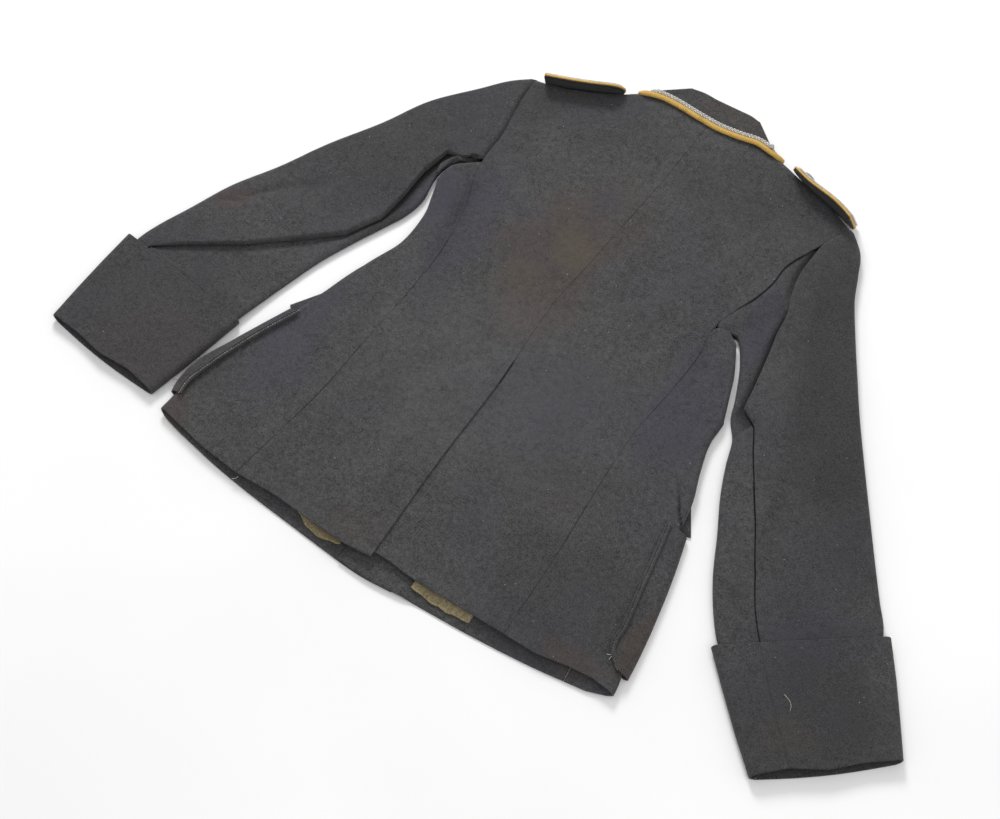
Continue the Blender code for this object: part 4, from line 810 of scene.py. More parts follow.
# %%
class Scatter(Tree):
    """A Geometry Nodes tree that puts one small rounded shape on many points."""

    def __init__(self, name, **numbers):
        self.tree = bpy.data.node_groups.new(name, "GeometryNodeTree")
        add = self.tree.interface.new_socket
        for way in ("OUTPUT", "INPUT"):
            add("Geometry", in_out=way, socket_type="NodeSocketGeometry")
        self.numbers = {}
        for key, value in numbers.items():
            kind = "NodeSocketInt" if isinstance(value, int) else "NodeSocketFloat"
            self.numbers[add(key, in_out="INPUT", socket_type=kind).identifier] = value
        self.given = self.node("NodeGroupInput").outputs

    def put(self, points, rotation):
        """Puts the shapes on the points, uneven in size, and ends the tree."""
        long, wide, seed = (self.given[key] for key in ("long", "wide", "seed"))
        shape = self.node("GeometryNodeMeshUVSphere", Segments=6, Rings=4, Radius=1.0).outputs[0]
        size = self.node("ShaderNodeCombineXYZ", X=long, Y=wide, Z=wide).outputs[0]
        uneven = self.node("FunctionNodeRandomValue", {"data_type": "FLOAT"}, Min=0.7, Max=1.25, Seed=seed)
        size = self.node("ShaderNodeVectorMath", {"operation": "SCALE"}, Vector=size, Scale=uneven.outputs[1])
        made = self.node("GeometryNodeInstanceOnPoints", Points=points, Instance=shape, Rotation=rotation,
                         Scale=size.outputs[0])
        made = self.node("GeometryNodeRealizeInstances", Geometry=made.outputs[0])
        self.coloured = self.node("GeometryNodeSetMaterial", Geometry=made.outputs[0])
        end = self.node("NodeGroupOutput")
        self.tree.links.new(self.coloured.outputs[0], end.inputs[0])

    def make(self, name, source, finish):
        """Runs the tree on a mesh and gives the result as a plain mesh object."""
        self.coloured.inputs["Material"].default_value = MATERIALS[finish]
        holder = added(name + "_source", source)
        modifier = holder.modifiers.new("made", "NODES")
        modifier.node_group = self.tree
        for key, value in self.numbers.items():
            modifier[key] = value
        ready = holder.evaluated_get(bpy.context.evaluated_depsgraph_get())
        mesh = bpy.data.meshes.new_from_object(ready)
        mesh.shade_smooth()
        bpy.data.objects.remove(holder)
        made = added(name, mesh)
        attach(made, "root")
        return made


stitching = Scatter("stitches", spacing=0.003, long=0.0012, wide=0.0003, seed=3)
line = stitching.node("GeometryNodeMeshToCurve", Mesh=stitching.given["Geometry"]).outputs[0]
run = stitching.node("GeometryNodeCurveToPoints", {"mode": "LENGTH"}, Curve=line,
                     Length=stitching.given["spacing"]).outputs
turned = stitching.node("FunctionNodeAlignRotationToVector", {"axis": "X"}, Vector=run["Tangent"])
stitching.put(run["Points"], turned.outputs[0])

dusting = Scatter("lint", density=300.0, long=0.0007, wide=0.00022, seed=11)
facing = dusting.node("GeometryNodeInputNormal").outputs[0]
up = dusting.node("ShaderNodeSeparateXYZ", Vector=facing).outputs[2]
upward = dusting.node("FunctionNodeCompare", {"data_type": "FLOAT", "operation": "GREATER_THAN"}, A=up, B=0.9)
points = dusting.node("GeometryNodeDistributePointsOnFaces", Mesh=dusting.given["Geometry"],
                      Selection=upward.outputs[0], Density=dusting.given["density"],
                      Seed=dusting.given["seed"])
turned = dusting.node("FunctionNodeRandomValue", {"data_type": "FLOAT_VECTOR"}, Min=(0, 0, 0),
                      Max=(0, 0, 6.3), Seed=dusting.given["seed"])
dusting.put(points.outputs[0], turned.outputs[0])


def stitches(name, path, finish):
    """A row of stitches along a path of plan points with heights."""
    mesh = bpy.data.meshes.new(name)
    points = (np.asarray(path, float) - CENTRE) * MM
    mesh.from_pydata(points.tolist(), [(k, k + 1) for k in range(len(points) - 1)], [])
    return stitching.make(name, mesh, finish)


print("trees:", stitching.tree.name, dusting.tree.name)

# %% [markdown]
# ## Back, sides and fronts


# %%
def outer_seam(side, at):
    """The princess seam and the armhole above it."""
    return curve(PRINCESS[side] + ARMHOLE[side][1:], at)


def back_panel(side):
    """Half of the back, from the centre seam to the princess seam and armhole."""
    left, sign = side == "left", SIGN[side]
    u, v = crowded(84, 0.85), crowded(230, 0.85)
    hem, shoulder = curve(BACK_HEM[side], u), curve(SHOULDER[side], u)
    seam = curve(CENTRE_SEAM, v) + (sign * SEAM / 2, 0)
    outer = outer_seam(side, v) - (sign * CURVED_SEAM / 2, 0)
    if not left:
        under = VENT_UNDERLAY * smoothstep((VENT_TOP + 8 - seam[:, 1]) / 16)
        seam = seam - np.stack([under, 0 * under], 1)
        hem = curve([tuple(seam[0])] + BACK_HEM["right"], u)
        seam[0] = hem[0]
    seam[0], seam[-1] = hem[0], shoulder[0] + (sign * SEAM / 2, 0)
    shoulder[0] = seam[-1]
    outer[0], outer[-1] = hem[-1], shoulder[-1]
    plan = patch(hem, shoulder, seam, outer, u, v)
    x, y = plan[..., 0], plan[..., 1]
    z = back_height(x, y)
    to_seam = np.linalg.norm(plan - plan[:, :1], axis=2)
    to_outer = np.linalg.norm(plan - plan[:, -1:], axis=2)
    z = z + pressed(to_outer) * smoothstep((440 - y) / 20)
    z = z + pressed(to_seam) * smoothstep((y - VENT_TOP) / 20)
    if left:
        z = z + LAYER * smoothstep((VENT_TOP + 54 - y) / 22) * smoothstep((x + 84) / 30)
    to_shoulder = np.linalg.norm(plan - plan[-1:], axis=2)
    neck_share = smoothstep((np.abs(shoulder[:, 0]) - 64) / 22)[None, :]
    z = z + (roll_down(z, 3.4 + lift(x, y), to_shoulder, 10.0) - z) * neck_share
    sewn = "last row last column" + (" first column" if not left else "")
    return cloth("back_" + side, np.dstack([plan, z]), WOOL, "wool", "up", sewn=sewn,
                 rests_on=["front_" + side, "side_" + side], shade=painted_trough_shade(folds_at(BODY_FOLDS, x, y)))


def side_point(side, s, y):
    """A point of the side panel at y: s runs 0 to 1 on top, 1 to 2 round the fold, 2 to 3 below."""
    sign = SIGN[side]
    fold = lookup(SIDE_FOLDS, y, side)
    start = fold - sign * FOLD_REACH
    seam = outer_seam(side, 400)
    inner = np.interp(y, seam[:, 1], seam[:, 0]) + sign * CURVED_SEAM / 2
    x = inner + (start - inner) * np.clip(s, 0, 1)
    z = back_height(x, y) + pressed(np.abs(x - inner)) * smoothstep((440 - y) / 20)
    angle = (0.5 - np.clip(s - 1, 0, 1)) * np.pi
    low = lift(start, y)
    under = start + (fold - sign * SIDE_PANEL_UNDER - start) * np.clip(s - 2, 0, 1)
    arc_x = start + sign * FOLD_REACH * np.cos(angle)
    arc_z = (z + low) / 2 + (z - low) / 2 * np.sin(angle)
    on_top, below = s <= 1, s >= 2
    x = np.where(on_top, x, np.where(below, under, arc_x))
    return x, np.where(on_top, z, np.where(below, lift(under, y), arc_z))


def side_panel(side):
    """The panel under the arm, from the princess seam round the side fold to the seam below."""
    sign = SIGN[side]
    step = np.linspace(0, 1, 16)
    s = np.concatenate([crowded(44, 0.8), 1 + step[1:-1], 2 + step])[None, :]
    share = crowded(190, 0.85)[:, None]
    hem_x, hem_y = np.array(SIDE_HEM[side], float).T
    front_x, front_y = np.array(FRONT_HEM, float).T
    top_x, top_y = np.array(SIDE_TOP[side], float).T
    y = share * top_y.max() + 0 * s
    round_fold = np.clip(s - 1, 0, 1)
    for _ in range(4):
        x, z = side_point(side, s + 0 * y, y)
        back_hem = np.interp(sign * x, sign * hem_x, hem_y)
        hem = (1 - round_fold) * back_hem + round_fold * np.interp(x, front_x, front_y)
        end = np.where(s < 2, np.interp(sign * x, sign * top_x, top_y), SIDE_UNDER_TOP[side])
        y = hem + share * (end - hem)
    rolled = roll_down(z, np.minimum(z, UNDERARM_HEIGHT), (1 - share) * (y + 30), 14.0)
    z = np.where(s < 2, rolled, z)
    if side == "right":
        flap_x, flap_y = np.array(FLAP_END, float).T
        past = x - np.interp(y, flap_y, flap_x)
        z = z + np.where(s < 1.5, FLAP_STEP * smoothstep(past / 0.9) * (y > flap_y[0]) * (y < flap_y[-1]), 0)
        # Painted shadow along the foot of the flap's step, where the side panel meets the flap's edge
        foot = np.exp(-((np.minimum(past, 0) / 2.2) ** 2)) * (past < 0.8)
        shade = foot * smoothstep((y - flap_y[0]) / 4) * smoothstep((flap_y[-1] - y) / 40) * (s < 1.5)
    else:
        shade = 0 * x
    shade = shade + painted_trough_shade(folds_at(BODY_FOLDS, x, y)) * (s < 1.5)
    return cloth("side_" + side, np.dstack([x, y, z]), WOOL, "wool", "away",
                 sewn="first column last column last row", rests_on=["front_" + side], shade=shade)


def front_panel(side):
    """Half of the front, which lies on the surface. Its outer face is down."""
    left, sign = side == "left", SIGN[side]
    u, v = crowded(60, 0.7), crowded(120, 0.7)
    fx, fy = np.array(FRONT_HEM, float).T
    hem_out = float(lookup(SIDE_FOLDS, 0, side)) - sign * (SIDE_PANEL_UNDER + UNDER_SEAM)
    inside = [p for p in FRONT_HEM if -LAP < sign * p[0] < sign * hem_out]
    ends = [(-sign * LAP, np.interp(-sign * LAP, fx, fy)), (hem_out, np.interp(hem_out, fx, fy))]
    hem_points = sorted(inside + ends, key=lambda p: sign * p[0])
    seam = []
    for y in np.linspace(hem_points[-1][1], SIDE_UNDER_TOP[side], 14):
        seam.append((float(lookup(SIDE_FOLDS, y, side)) - sign * (SIDE_PANEL_UNDER + UNDER_SEAM), y))
    armhole = [(x - sign * 2.9, y - 1.0) for x, y in ARMHOLE[side][1:]]
    neck = NECK_POINT[side]
    inner = [(-sign * LAP, hem_points[0][1]), (-sign * LAP, 150), (-sign * LAP, 300), (-sign * LAP, 400),
             (-sign * LAP * 0.8, BREAK_Y), (neck[0] * 0.15, 520), (neck[0] * 0.65, 620), neck]
    shoulder = [neck] + [(x, y - 1.0) for x, y in SHOULDER[side][3:-1]] + [armhole[-1]]
    inner_c, outer_c = curve(inner, v), curve(seam + armhole, v)
    hem_c, top_c = curve(hem_points, u), curve(shoulder, u)
    inner_c[0], outer_c[0], inner_c[-1], outer_c[-1] = hem_c[0], hem_c[-1], top_c[0], top_c[-1]
    plan = patch(hem_c, top_c, inner_c, outer_c, u, v)
    x, y = plan[..., 0], plan[..., 1]
    z = lift(x, y)
    if not left:
        z = z + (LAYER + 0.8) * smoothstep((LAP + 32 - x) / 24)
    return cloth("front_" + side, np.dstack([plan, z]), WOOL, "wool", "down",
                 sewn="last column last row", rests_on=["floor"])


for side in ("left", "right"):
    for make in (back_panel, side_panel, front_panel):
        made = make(side)
        print(made.name, len(made.data.polygons), "faces")

# %% [markdown]
# ## Sleeves and cuffs


# %%
def sleeve_rows(side, count):
    """The sleeve's sections, read between the table's rows, and each one's share of the sleeve's length."""
    values = np.array(SLEEVE[side], float)
    key = values[:, :4].reshape(-1, 2, 2).mean(axis=1)
    along = np.concatenate([[0], np.cumsum(np.linalg.norm(np.diff(key, axis=0), axis=1))])
    shares = np.linspace(0, 1, count) ** 0.96
    read = np.stack([np.interp(shares * along[-1], along, values[:, k]) for k in range(values.shape[1])], 1)
    read[:, :4] = hermite(shares * along[-1], along, values[:, :4])
    return [SleeveRow(*row) for row in read], shares


def sleeve(side):
    """A two-piece sleeve: the top sleeve, and the under sleeve that shows below its fold."""
    sign = SIGN[side]
    junction = ARMHOLE[side][0]
    armhole = [tuple(p) for p in outer_seam(side, 300)[::-1] if p[1] > junction[1] + 4]
    line = along_polyline(armhole + UNDERARM[side], 200) + (sign * 0.9 * CURVED_SEAM, 0)
    rows, shares = sleeve_rows(side, 170)
    first = dict(outer_x=line[0][0], outer_y=line[0][1], inner_x=line[-1][0], inner_y=line[-1][1])
    grids, shade = {"top": [], "under": []}, {"top": [], "under": []}
    for row, share in zip(rows, shares):
        ends = first if share == 0 else row._asdict()
        outer = np.array([ends["outer_x"], ends["outer_y"]])
        inner = np.array([ends["inner_x"], ends["inner_y"]])
        width = float(np.linalg.norm(inner - outer))
        blend = float(smoothstep(1 - share / SLEEVE_SEAM_REACH))

        def place(distance):
            """Plan points that far in from the outer edge, drawn towards the armhole near it."""
            part = np.clip(np.asarray(distance) / width, 0, 1)
            k = part * (len(line) - 1)
            on_line = np.stack([np.interp(k, range(len(line)), line[:, c]) for c in (0, 1)], 1)
            straight = outer + part[:, None] * (inner - outer)
            return straight + blend * (on_line - line[0] - part[:, None] * (line[-1] - line[0]))

        fold_at = row.fold * width
        reach = min(FOLD_REACH, fold_at * 0.45)
        seam_at = SEAM_SHARE_UNDER * width
        crest, base = row.crest, row.base
        bump = SLEEVE_CROWN * max(0.0, 1 - base / 2.4)
        edge = min(4.2, fold_at - reach - 0.5)
        angle = np.linspace(-np.pi / 2, np.pi / 2, 16)[1:-1]
        top = np.linspace(reach, fold_at - edge, 50)
        turn = np.linspace(0, np.pi / 2, 10)[1:]
        d = np.concatenate([np.linspace(seam_at - SEAM, reach, 14), reach - reach * np.cos(angle), top,
                            fold_at - edge + edge * np.sin(turn)])
        z = np.concatenate([np.full(14, base), (crest + base) / 2 + (crest - base) / 2 * np.sin(angle),
                            crest + bump * np.sin(np.pi * top / fold_at),
                            crest - row.drop * (1 - np.cos(turn))])
        plan = place(d)
        above = np.clip((z - base) / (crest - base), 0, None) ** 2
        lumps = above * folds_at(SLEEVE_FOLDS[side], plan[:, 0], plan[:, 1])
        grids["top"].append(np.column_stack([plan, z + lumps]))
        shade["top"].append(painted_trough_shade(lumps))

        start = fold_at - row.lap
        inner_reach = min(FOLD_REACH, (width - start) * 0.4)
        below = min(row.under, crest - row.drop - WOOL - CLEAR)
        apart = min(max(-row.lap, 0.0), 1.0)
        under = below + (row.under - below) * apart
        inner_height = max(under, base + 7.4)
        flat_d = np.linspace(start, width - inner_reach, 44)
        rise = smoothstep((flat_d - fold_at - 1.0) / max(width - inner_reach - fold_at - 1.0, 1.0))
        flat_z = under + (inner_height - under) * rise
        climb = smoothstep((flat_d - fold_at - 1.0) / SEAM_CLIMB)
        climb *= smoothstep((width - inner_reach - flat_d) / SEAM_CLIMB)
        climb *= float(smoothstep(1 - share / SEAM_HEIGHT_REACH))
        flat_z += np.clip(SEAM_HEIGHT - flat_z, 0, None) * climb
        angle = angle[::-1]
        d = np.concatenate([flat_d, width - inner_reach + inner_reach * np.cos(angle),
                            np.linspace(width - inner_reach, seam_at + SEAM, 20)])
        arc_z = (inner_height + base) / 2 + (inner_height - base) / 2 * np.sin(angle)
        z = np.concatenate([flat_z, arc_z, np.full(20, base)])
        plan = place(d)
        above = np.clip((z - base) / (inner_height - base), 0, 1) ** 2 * smoothstep((d - fold_at - 2) / 8)
        lumps = above * folds_at(UNDER_FOLDS[side], plan[:, 0], plan[:, 1])
        grids["under"].append(np.column_stack([plan, z + lumps]))
        # Painted shadow on the under sleeve beside the top sleeve's fold, strongest near the armpit, plus
        # painted shade in its own fold troughs
        deep = 0.0
        if row.lap >= 0:
            deep = float(smoothstep(1.2 - share * 1.6) * smoothstep((share - 0.05) / 0.06))
        painted_fold_shadow = deep * np.exp(-(((d - fold_at) / 13) ** 2)) * (np.arange(len(d)) < 60)
        shade["under"].append(painted_fold_shadow + painted_trough_shade(lumps))
    for name, grid in grids.items():
        sewn = "first row" + (" last column" if name == "top" else " first column")
        cloth(f"sleeve_{side}_{name}", grid, WOOL, "wool", "away", sewn=sewn, rests_on=["floor"],
              shade=shade[name])


def cuff(side):
    """A deep turned-back cuff: a flat ring round the sleeve's end."""
    wave_x, wave_y = np.array(CUFF_MOUTH_WAVE, float).T
    values = np.array(CUFF[side], float)
    steps = crowded(64, 0.8)
    rows = np.stack([np.interp(steps * 3, range(4), values[:, k]) for k in range(5)], 1)
    mouth_way = (values[-1, :2] + values[-1, 2:4] - values[0, :2] - values[0, 2:4]) / 2
    mouth_way /= np.linalg.norm(mouth_way)
    seam_share = CUFF_SEAM[side]
    grid = []
    for share, row in zip(steps, rows):
        outer, inner, height = row[:2], row[2:4], row[4]
        width = float(np.linalg.norm(inner - outer))
        reach = 6.5
        down = np.linspace(np.pi / 2, -np.pi / 2, 14)[1:-1]
        top = np.linspace(reach, width - reach, 72)
        if seam_share:
            close = seam_share * width + np.array([-3.0, -2.0, -1.2, -0.6, 0, 0.6, 1.2, 2.0, 3.0])
            top = np.sort(np.concatenate([top, close]))
        under = np.linspace(width - reach, reach, 24)
        d = np.concatenate([top, width - reach + reach * np.cos(down), under,
                            reach - reach * np.cos(down[::-1])])
        rise = height + 0.8 * np.sin(np.pi * top / width) - 0.8 * share * np.sin(2 * np.pi * top / width)
        arc_z = height / 2 * (1 + np.sin(down))
        z = np.concatenate([rise, arc_z, 0 * under, arc_z[::-1]])
        upper = np.concatenate([1 + 0 * top, 0.5 + 0 * down, 0 * under, 0.5 + 0 * down])
        plan = outer + (inner - outer) * (d / width)[:, None]
        stand = np.interp(d / width, wave_x, wave_y) * upper
        stand = stand + MOUTH_UNDER_REACH * (1 - upper) * np.sin(np.pi * d / width)
        plan = plan + mouth_way * (stand * share**3)[:, None]
        lumps = folds_at(CUFF_FOLDS[side], plan[:, 0], plan[:, 1])
        if seam_share:
            lumps = lumps - 0.9 * np.exp(-(((d - seam_share * width) / 0.9) ** 2))
            lumps = lumps + pressed(np.abs(d - seam_share * width))
        z = z + lumps * np.where(upper == 1, 1, 0) * smoothstep(np.minimum(d, width - d) / 12)
        ring = np.column_stack([plan, z])
        grid.append(np.vstack([ring, ring[:1]]))
    return cloth("cuff_" + side, grid, WOOL, "wool", "away", ring=True, rests_on=["floor"])


for side in ("left", "right"):
    sleeve(side)
    made = cuff(side)
    print(made.name, len(made.data.polygons), "faces")

# %% [markdown]
# ## Collar with its piping and cord


# %%
def with_turned_ends(rows, steps=12):
    """Adds columns at both ends of the collar, which turn down round the ends of the neck."""
    grid = np.array(rows)
    fall_edge, fall_roll = grid[0], grid[len(rows) // 2]
    made = []
    angles = np.linspace(0, 90, steps + 1)[1:]
    for end, order in ((0, angles[::-1]), (-1, angles)):
        along = fall_roll[end, :2] - fall_edge[end, :2]
        out = np.array([-along[1], along[0]]) / np.linalg.norm(along)
        out = out * (1 if end == 0 else -1)
        turned = []
        for a in np.radians(order):
            z = grid[:, end, 2]
            part = np.clip((z - COLLAR_TURN_FROM) / (COLLAR_EDGE_HEIGHT - COLLAR_TURN_FROM), 0, 1)
            reach = -COLLAR_TURN_IN + (COLLAR_TURN_IN + COLLAR_TURN_OUT) * part
            plan = grid[:, end, :2] + out * (reach * math.sin(a))[:, None]
            low = COLLAR_END_HEIGHT + (z - COLLAR_END_HEIGHT) * math.cos(a)
            turned.append(np.column_stack([plan, low]))
        made.append(np.array(turned).transpose(1, 0, 2))
    return np.concatenate([made[0], grid, made[1]], axis=1)


def rings_piece(name, rings, finish):
    """A closed surface through rings of points, with flat ends."""
    rings = np.asarray(rings, float)
    sides = rings.shape[1]
    points = rings.reshape(-1, 3)
    index = np.arange(len(points)).reshape(len(rings), sides)
    faces = quads(np.concatenate([index, index[:, :1]], axis=1))
    flip = inside_out(points, faces)
    faces = (faces[:, ::-1] if flip else faces).tolist()
    caps = [list(range(sides))[::-1], list(range(len(points) - sides, len(points)))]
    faces += [cap[::-1] for cap in caps] if flip else caps
    return new_piece(name, points, faces, finish)


def frames_along(path):
    """Unit vectors beside and above each point of a path."""
    forward = np.gradient(path, axis=0)
    forward /= np.linalg.norm(forward, axis=1, keepdims=True)
    side = np.cross(forward, (0, 0, 1.0))
    side /= np.linalg.norm(side, axis=1, keepdims=True)
    return side, np.cross(side, forward)


def tube(name, path, radius, finish, sides=12, wide=1.0):
    side, up = frames_along(path)
    turn = np.linspace(0, 2 * np.pi, sides, endpoint=False)
    rings = path[:, None] + radius * (wide * np.cos(turn)[None, :, None] * side[:, None]
                                      + np.sin(turn)[None, :, None] * up[:, None])
    return rings_piece(name, rings, finish)


def joined(name, parts, keep=False):
    """One object from several, which are then removed unless they are kept."""
    verts, faces, at = [], [], 0
    for part in parts:
        verts += [tuple(v.co) for v in part.data.vertices]
        faces += [[at + i for i in p.vertices] for p in part.data.polygons]
        at += len(part.data.vertices)
    mesh = bpy.data.meshes.new(name)
    mesh.from_pydata(verts, [], faces)
    mesh.materials.append(parts[0].data.materials[0])
    mesh.shade_smooth()
    for part in [] if keep else parts:
        bpy.data.objects.remove(part)
    return added(name, mesh)


def collar():
    """The collar's fall over its stand, folded at the roll line, with a cord and piping on its edge."""
    count = 70
    edge, roll, seam = curve(COLLAR_EDGE, count), curve(COLLAR_ROLL, count), curve(NECK_SEAM, count)
    half = COLLAR_ROLL_THICK / 2
    inward = (edge - roll) / np.linalg.norm(edge - roll, axis=1, keepdims=True)
    rows = []
    for part in crowded(24, 0.5)[:-1] * 0.9:
        height = COLLAR_EDGE_HEIGHT + (COLLAR_ROLL_HEIGHT - COLLAR_EDGE_HEIGHT) * part
        rows.append(np.column_stack([edge + part * (roll - edge), np.full(count, height)]))
    for a in np.radians(np.linspace(62, -90, 16)):
        plan = roll + inward * (half - half * math.cos(a))
        rows.append(np.column_stack([plan, np.full(count, COLLAR_ROLL_HEIGHT - half + half * math.sin(a))]))
    start, low = roll + inward * half, COLLAR_ROLL_HEIGHT - COLLAR_ROLL_THICK
    for part in np.linspace(0, 1, 9)[1:]:
        rows.append(np.column_stack([start + part * (seam - start), np.full(count, low - 2.0 * part)]))
    grid = with_turned_ends(rows).transpose(1, 0, 2)
    edge = curve(COLLAR_EDGE, 60)
    way = np.gradient(edge, axis=0)
    way /= np.linalg.norm(way, axis=1, keepdims=True)
    out = np.stack([way[:, 1], -way[:, 0]], 1)
    height = np.full(60, COLLAR_EDGE_HEIGHT)
    line = np.column_stack([edge + out * (CORD_RADIUS + 0.7), height])
    path = curve(np.vstack([PIPING_START, line, PIPING_END]), 240)
    roll = tube("collar_piping_roll", path, CORD_RADIUS, "piping", wide=1.3)
    piping = stands_for(roll, "collar_piping")
    line = np.column_stack([edge - out * (PLAIT_WIDE + STRAND_RADIUS - 1.4), height + 1.9])
    path = curve(np.vstack([CORD_START, line[line[:, 0] > CORD_FROM_X], CORD_END]), 560)
    side, up = frames_along(path)
    along = np.concatenate([[0], np.cumsum(np.linalg.norm(np.diff(path, axis=0), axis=1))])
    strands = []
    for number in range(3):
        turn = 2 * np.pi * (along / PLAIT_LENGTH + number / 3)[:, None]
        strand = path + PLAIT_WIDE * np.sin(turn) * side + 0.8 * np.sin(2 * turn) * up
        strands.append(tube(f"strand_{number}", strand, STRAND_RADIUS, "silver", 8))
    cord = stands_for(joined("collar_cord_twist", strands), "collar_cord")
    return cloth("collar", grid, COLLAR_CLOTH, "wool", "away", rests_on=["back_left", "back_right"],
                 with_pieces=[piping, cord])


made = collar()
print(made.name, len(made.data.polygons), "faces")

# %% [markdown]
# ## Shoulder straps


# %%
def strap(side):
    """A shoulder strap that leans over the shoulder's edge: base cloth, coloured layer, braid and button."""
    row = STRAPS[side]
    sleeve_end, neck_end = np.array([row.sleeve_x, row.sleeve_y]), np.array([row.neck_x, row.neck_y])
    length = float(np.linalg.norm(neck_end - sleeve_end))
    way = (neck_end - sleeve_end) / length
    out = np.array([-way[1], way[0]]) * (1 if side == "left" else -1)
    tilt = math.radians(row.tilt)
    middle_height = STRAP_FOOT + STRAP_WIDTH / 2 * math.sin(tilt)
    round_end = STRAP_WIDTH / 2
    straight = length - round_end

    def place(s, w, depth):
        """s runs from the sleeve to the neck, w up from the middle, depth away from the tunic."""
        share = s / length
        bow = row.bow * math.sin(math.pi * share) + row.wave * math.sin(2 * math.pi * share)
        bow *= 0.5 + w / STRAP_WIDTH
        p = sleeve_end + way * s + out * (bow + (STRAP_WIDTH / 2 - w) * math.cos(tilt) + depth)
        return (*p, middle_height + w * math.sin(tilt))

    def board(name, start, thick, inset, finish):
        grids = ([], [])
        over_at = np.sin(np.linspace(0, 1, 16)[1:] * math.radians(86))
        for s in np.concatenate([np.linspace(0, straight, 50), straight + round_end * over_at]):
            over = max(0.0, s - straight) / round_end
            half = (STRAP_WIDTH / 2 - inset) * math.sqrt(1 - over**2)
            s = s - inset * over
            w = crowded(26, 0.8) * 2 - 1
            edge = np.minimum((1 - np.abs(w)) * half, length - s) / 1.1
            tuck = 0.42 * thick * (1 - np.sqrt(1 - (1 - np.clip(edge, 0, 1)) ** 2))
            grids[0].append([place(s, a * half, start + thick - t) for a, t in zip(w, tuck)])
            grids[1].append([place(s, a * half, start + t) for a, t in zip(w, tuck)])
        made = between(name + "_layer", np.array(grids[0]), np.array(grids[1]), finish)
        # Painted shade: the layer is darkened, half on its outer face and fully on its underside, for the
        # shadow under the leaning strap; only the wool base's material reads it
        mark(made, "shade", np.repeat([0.5, 1.0], len(made.data.vertices) // 2))
        return stands_for(made, name)

    under_braid = STRAP_BASE + STRAP_PIPING + 2 * STRAP_GAP
    layers = [board(f"strap_{side}_piping", STRAP_BASE + STRAP_GAP, STRAP_PIPING, 0.0, "piping"),
              board(f"strap_{side}_braid", under_braid, STRAP_BRAID, BRAID_INSET, "silver")]
    rings = []
    turn = np.linspace(0, 2 * math.pi, 36, endpoint=False)
    for depth, radius in STUD:
        deep = under_braid + STRAP_BRAID + STRAP_GAP + depth
        rings.append([place(straight + radius * math.cos(a), radius * math.sin(a), deep) for a in turn])
    stud = rings_piece(f"strap_{side}_stud", rings, "button")
    layers.append(stands_for(stud, f"strap_{side}_button"))
    base = board(f"strap_{side}_base", 0.0, STRAP_BASE, BASE_INSET, "wool")
    wide = STRAP_WIDTH - 2 * BASE_INSET
    area = (wide * straight + math.pi * (wide / 2) ** 2 / 2) * MM * MM
    sheet(base, f"strap_{side}", (wide * MM, length * MM), area, rests_on=["back_" + side],
          with_pieces=layers)
    return base


for side in ("left", "right"):
    made = strap(side)
    print(made.name, len(made.data.polygons), "faces")

# %% [markdown]
# ## Pockets, flaps, lining and the hidden front pieces


# %%
def pocket(side):
    """A patch pocket that wraps round the side fold, with its bellows strip."""
    sign = SIGN[side]
    grid, strip = [], []
    ridge_at, ridge_up = [-3.4, -1.7, 0.1, 1.8, 3.6], [0.0, 1.5, 0.2, 1.6, 0.1]
    across = np.linspace(-3.4, 3.6, 30)
    for y in POCKET[side][0].y + (POCKET[side][-1].y - POCKET[side][0].y) * crowded(90, 0.8):
        top_edge, outer = float(lookup(POCKET[side], y, "top_edge")), float(lookup(POCKET[side], y, "outer"))
        fold = float(lookup(SIDE_FOLDS, y, side))
        start = fold - sign * FOLD_REACH
        high = float(back_height(start, y)) + POCKET_WALL + CLEAR + 0.5
        shoulder_z = high - 1.4
        lobe = [(top_edge, high), (fold + sign * 0.5, shoulder_z)]
        lobe += [(outer - sign * 3.0, shoulder_z - 2.2 - 0.06 * sign * (outer - fold)), (outer, 3.4),
                 (outer - sign * 3.2, 0.0)]
        path = curve(lobe, crowded(44, 0.6))
        flat_x = np.linspace(outer - sign * 3.2, sign * POCKET_INNER_X, 14)[1:]
        grid.append([(x, y, max(z, 0.0)) for x, z in path] + [(x, y, 0.0) for x in flat_x])
        ripple = 0.25 * math.sin(y * 0.21) + 0.2 * math.sin(y * 0.083 + 1)
        height = high + CLEAR + 1.0 + hermite(across, ridge_at, ridge_up) * (1 + 0.3 * ripple)
        strip.append(np.column_stack([top_edge - sign * 2.2 + sign * across, np.full(30, y), height]))
    bellows = cloth(f"pocket_{side}_bellows", strip, 0.9, "wool", "up", own_sheet=False)
    valley = np.array(strip)[:, len(across) // 2] + (0, 0, 0.15)
    row = stitches(f"pocket_{side}_stitches", valley, "pale_thread" if side == "left" else "thread")
    return cloth("pocket_" + side, grid, POCKET_WALL, "wool", "away", rests_on=["floor"], sewn="first column",
                 with_pieces=[bellows, row])


def flat_piece(node, outline, low, high, finish="wool"):
    """A flat cloth piece over a plan outline, with rounded rims, for what lies on the surface."""
    corners = np.array(outline, float)
    centre = corners.mean(axis=0)
    loop = along_polyline(list(map(tuple, corners)) + [tuple(corners[0])], 161)[:-1]
    rings = []
    for tuck, z in ((0.9, low), (0.35, low + 0.2), (0.0, (low + high) / 2), (0.35, high - 0.2), (0.9, high)):
        away = centre - loop
        away /= np.linalg.norm(away, axis=1, keepdims=True)
        rings.append(np.column_stack([loop + away * tuck, np.full(len(loop), z)]))
    made = stands_for(rings_piece(node + "_cloth", rings, finish), node)
    x, y = corners.T
    area = abs(float(np.dot(x, np.roll(y, -1)) - np.dot(y, np.roll(x, -1)))) / 2 * MM * MM
    width, length = (corners.max(axis=0) - corners.min(axis=0)) * MM
    area = min(max(area, LEAST_FILLED * width * length), width * length)
    sheet(made, node, (float(width), float(length)), area, rests_on=["floor"])


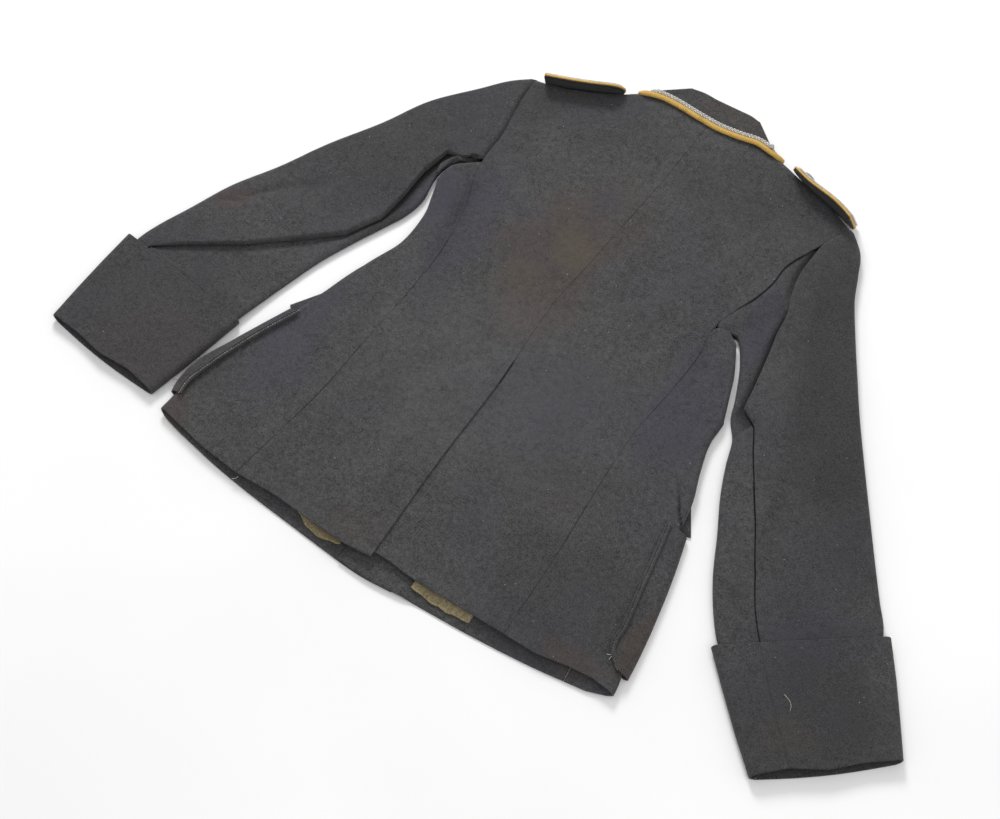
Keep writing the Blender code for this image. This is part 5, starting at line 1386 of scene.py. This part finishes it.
def lining(side):
    """The strip of lining that shows between the back hem and the front's own hem."""
    (x0, y0), (x1, y1), dip = LINING[side]
    grid = []
    for share in crowded(110, 0.5):
        x = x0 + (x1 - x0) * share
        low = y0 + share * (y1 - y0) - dip * math.sin(math.pi * share) + 0.6 * math.sin(x * 0.31)
        y = low + (40 - low) * crowded(30, 0.5)
        gather = 0.5 * np.sin(x * 0.45) + 0.35 * np.sin(x * 0.83 + 0.08 * y) + 0.15 * np.sin(x * 1.7)
        base = lift(x, y) + WOOL + LINING_CLOTH + CLEAR + 1.0
        if side == "right":
            base = base + (LAYER + 0.8) * smoothstep((LAP + 38 - x) / 24)
        grid.append(np.column_stack([np.full(30, x), y, base + gather * np.exp(-(y - low) / 18)]))
    return cloth("lining_" + side, grid, LINING_CLOTH, "lining", "up", rests_on=["front_" + side],
                 sewn="last column")


for side in ("left", "right"):
    sign, neck = SIGN[side], NECK_POINT[side]
    pocket(side)
    flat_piece(f"pocket_{side}_flap", FLAP[side], 0.0, WOOL)
    lining(side)
    leaf = [(neck[0] * 0.98, 688), (neck[0] * 0.60, 622), (neck[0] * 0.98, 590), (neck[0] * 1.28, 652)]
    flat_piece("collar_leaf_" + side, leaf, 0.0, WOOL)
    lapel = [(neck[0] * 0.58, 618), (sign * 13, 470), (sign * 40, 520), (sign * 92, 575),
             (neck[0] * 0.98, 588)]
    flat_piece("lapel_" + side, lapel, 0.0, WOOL)
ground = joined("lint_ground", [bpy.data.objects[name + "_cloth"] for name in DUSTED], keep=True)
dusting.make("lint", ground.data, "pale_thread")
bpy.data.objects.remove(ground)
for number, row in enumerate(LOOSE, 1):
    t = np.linspace(0, 1, 24)[:, None]
    start, end = np.array([row.x0, row.y0, row.height]), np.array([row.x1, row.y1, row.height - 0.3])
    bend = np.array([row.y0 - row.y1, row.x1 - row.x0, 0.0]) / math.hypot(row.x1 - row.x0, row.y1 - row.y0)
    path = start + t * (end - start) + row.bow * np.sin(np.pi * t) * bend
    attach(tube(f"loose_thread_{number}", path, 0.28, row.finish, 6), "root")
for number in range(1, BUTTONS + 1):
    node = frame["nodes"][f"button_{number}"]
    node.data.materials.clear()
    node.data.materials.append(MATERIALS["button"])
print("cuts in metres:", {k: tuple(round(x, 3) for x in v) for k, v in CUTS.items()})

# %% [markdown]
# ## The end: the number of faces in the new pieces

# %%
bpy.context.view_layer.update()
faces = sum(len(o.data.polygons) for o in bpy.data.objects if o.type == "MESH" and not o.get("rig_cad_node"))
print("faces in the new pieces:", faces)
